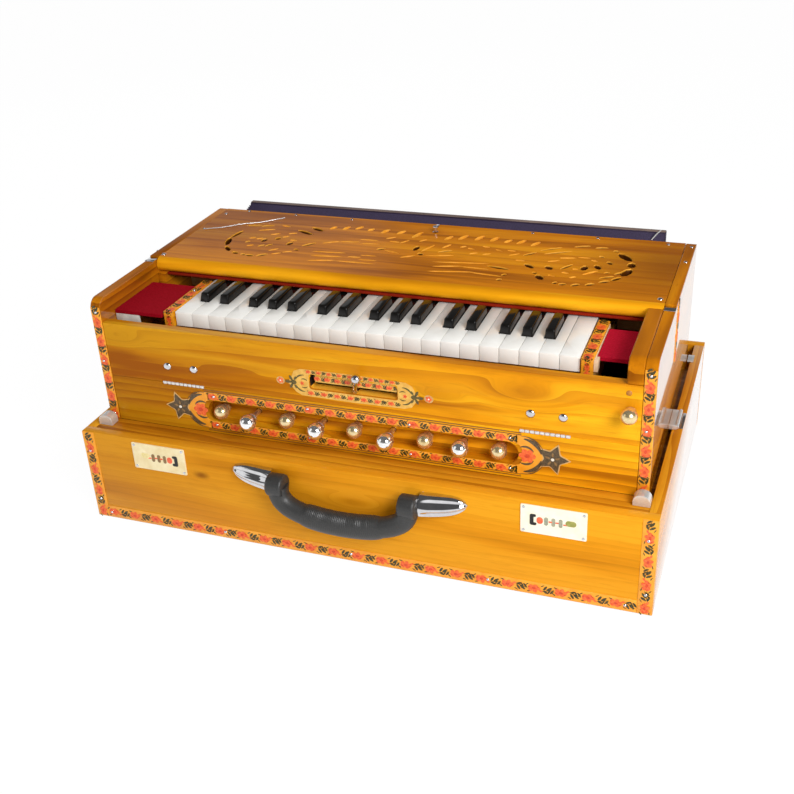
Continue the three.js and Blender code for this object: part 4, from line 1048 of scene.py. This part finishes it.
def wire(name, points, radius, paint, body="case", ends=False):
    """A thin round wire through points in mm, with a small ball on its last end if ends."""
    marks = [Vector(p) for p in points]

    def wire_point(t, u):
        far = t * (len(marks) - 1)
        step = min(len(marks) - 2, int(far))
        along = (marks[min(len(marks) - 1, step + 1)] - marks[step]).normalized()
        over = along.cross(Vector((0, 0, 1))).normalized()
        turn = u * 2 * math.pi
        spoke = (over * math.cos(turn) + over.cross(along) * math.sin(turn)) * radius
        return marks[step].lerp(marks[step + 1], far - step) + spoke

    piece = formed(name, len(marks) - 1, 10, wire_point)
    if ends:
        knob = turned("wire_end", ((-1.8, 0), (-1.3, 1.3), (0, 1.8), (1.3, 1.3), (1.8, 0)), marks[-1], (0, 0, 1), 12)
        piece = join(name, [piece, knob])
    dress(piece, paint, body)


wire("cover_wire", ((-294, 64, 273.3), (-274, 74, 273.5), (-253, 92, 273.5), (-232, 103, 273.5), (-209, 126, 273.3)),
     0.6, satin)
wire("block_wire", ((-231, -43.5, 250.6), (-232.5, -69, 252.5), (-228.5, -87, 256)), 0.7, chrome, "keyboard", True)
wire("hook_wire", ((263, 146, 273.4), (266, 150, 277), (269, 158, 279), (271, 167, 278.8)), 0.8, satin)

screws = [turned("screw", ((1.2, 0), (1.0, 1.6), (0.4, 2.8), (-0.3, 3)), (x, y, 272.7), (0, 0, 1), 14)
          for x, y in ((297, -25), (-301, -28))]
screws += [turned("nail", ((0.9, 0), (0.7, 1.3), (0.2, 2.1), (-0.3, 2.2)), (x, y, 272.7), (0, 0, 1), 12)
           for x, y in ((-296, 126), (-269, 142), (-296, 66), (311, 135), (310, 86), (-200, 141), (-120, 141),
                        (120, 141), (200, 141), (284, 138))]
dress(join("cover_nails", screws), chrome, "case")
for side, end in sides:
    arm = board("arm_plate_" + end, (side * 304, -49, arm_top), (side * 316, -36.6, 270.9), 0.3)
    dress(arm, chrome)


# Bellows: a painted ply board hinged at its foot, four folds of purple cloth over card, and the
# little catch on the cover that holds the board shut.
# Satin paint on ply, rubbed pale along its upper edge. The cloth's weave is too fine to show, so
# it is drawn at 1.4 mm.
ply = finish("painted ply, aubergine", "241C2E", "352B42", 20, 0.45, 0.03, (0.3, 1, 1), Specular_IOR_Level=0.2)
cloth = finish("bellows cloth, purple", "2C2439", "3C3150", 1.4, 0.85, 0.12)
scuffed = finish("scuffed ply edge", "5C4A44", "8A7468", 16, 0.6, 0.02, (0.3, 1, 1))
panel = board("bellows_board_painted", (-277.5, 163, 122), (277.5, 171, 278), 1.2, "bellows")
dress(panel, ply, node="bellows_board")
dress(board("bellows_edge", (-277, 163.4, 277.7), (277, 170.6, 278.2), 0.2, "bellows"), scuffed)


def fold_point(t, u):
    """The cloth's skin: t runs from the body's back to the board, in eight pleat faces, and u round it."""
    step = t * 8
    inset = 7 * abs(1 - (step % 2))
    half_x, low, high = 276.5 - 0.6 * inset, 127 + inset, 273.2 + 4.2 * t - 0.25 * inset
    corners = ((-half_x, low), (half_x, low), (half_x, high), (-half_x, high), (-half_x, low))
    side = min(3, int(u * 4))
    rest = u * 4 - side
    x = corners[side][0] + (corners[side + 1][0] - corners[side][0]) * rest
    z = corners[side][1] + (corners[side + 1][1] - corners[side][1]) * rest
    return (x, 146.4 + 16.4 * t, z)


folds = formed("bellows_cloth", 8, 64, fold_point)
dress(folds, cloth, node="bellows_folds")
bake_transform(folds)

post = turned("catch_post", ((0, 0), (0, 3.4), (0.8, 3.6), (1.4, 2.4), (6.6, 2.2), (7.2, 3.2), (8, 3), (8.3, 0)),
              (1.8, 117.5, 272.9), (0, 0, 1), 20)
hook = board("catch_hook", (-0.2, 117.5, 276.9), (3.8, 129.5, 278.9), 0.5, body=None)
dress(join("bellows_hook_dressed", [post, hook]), chrome, "bellows_hook", "bellows_catch")
bpy.data.objects.remove(spray)
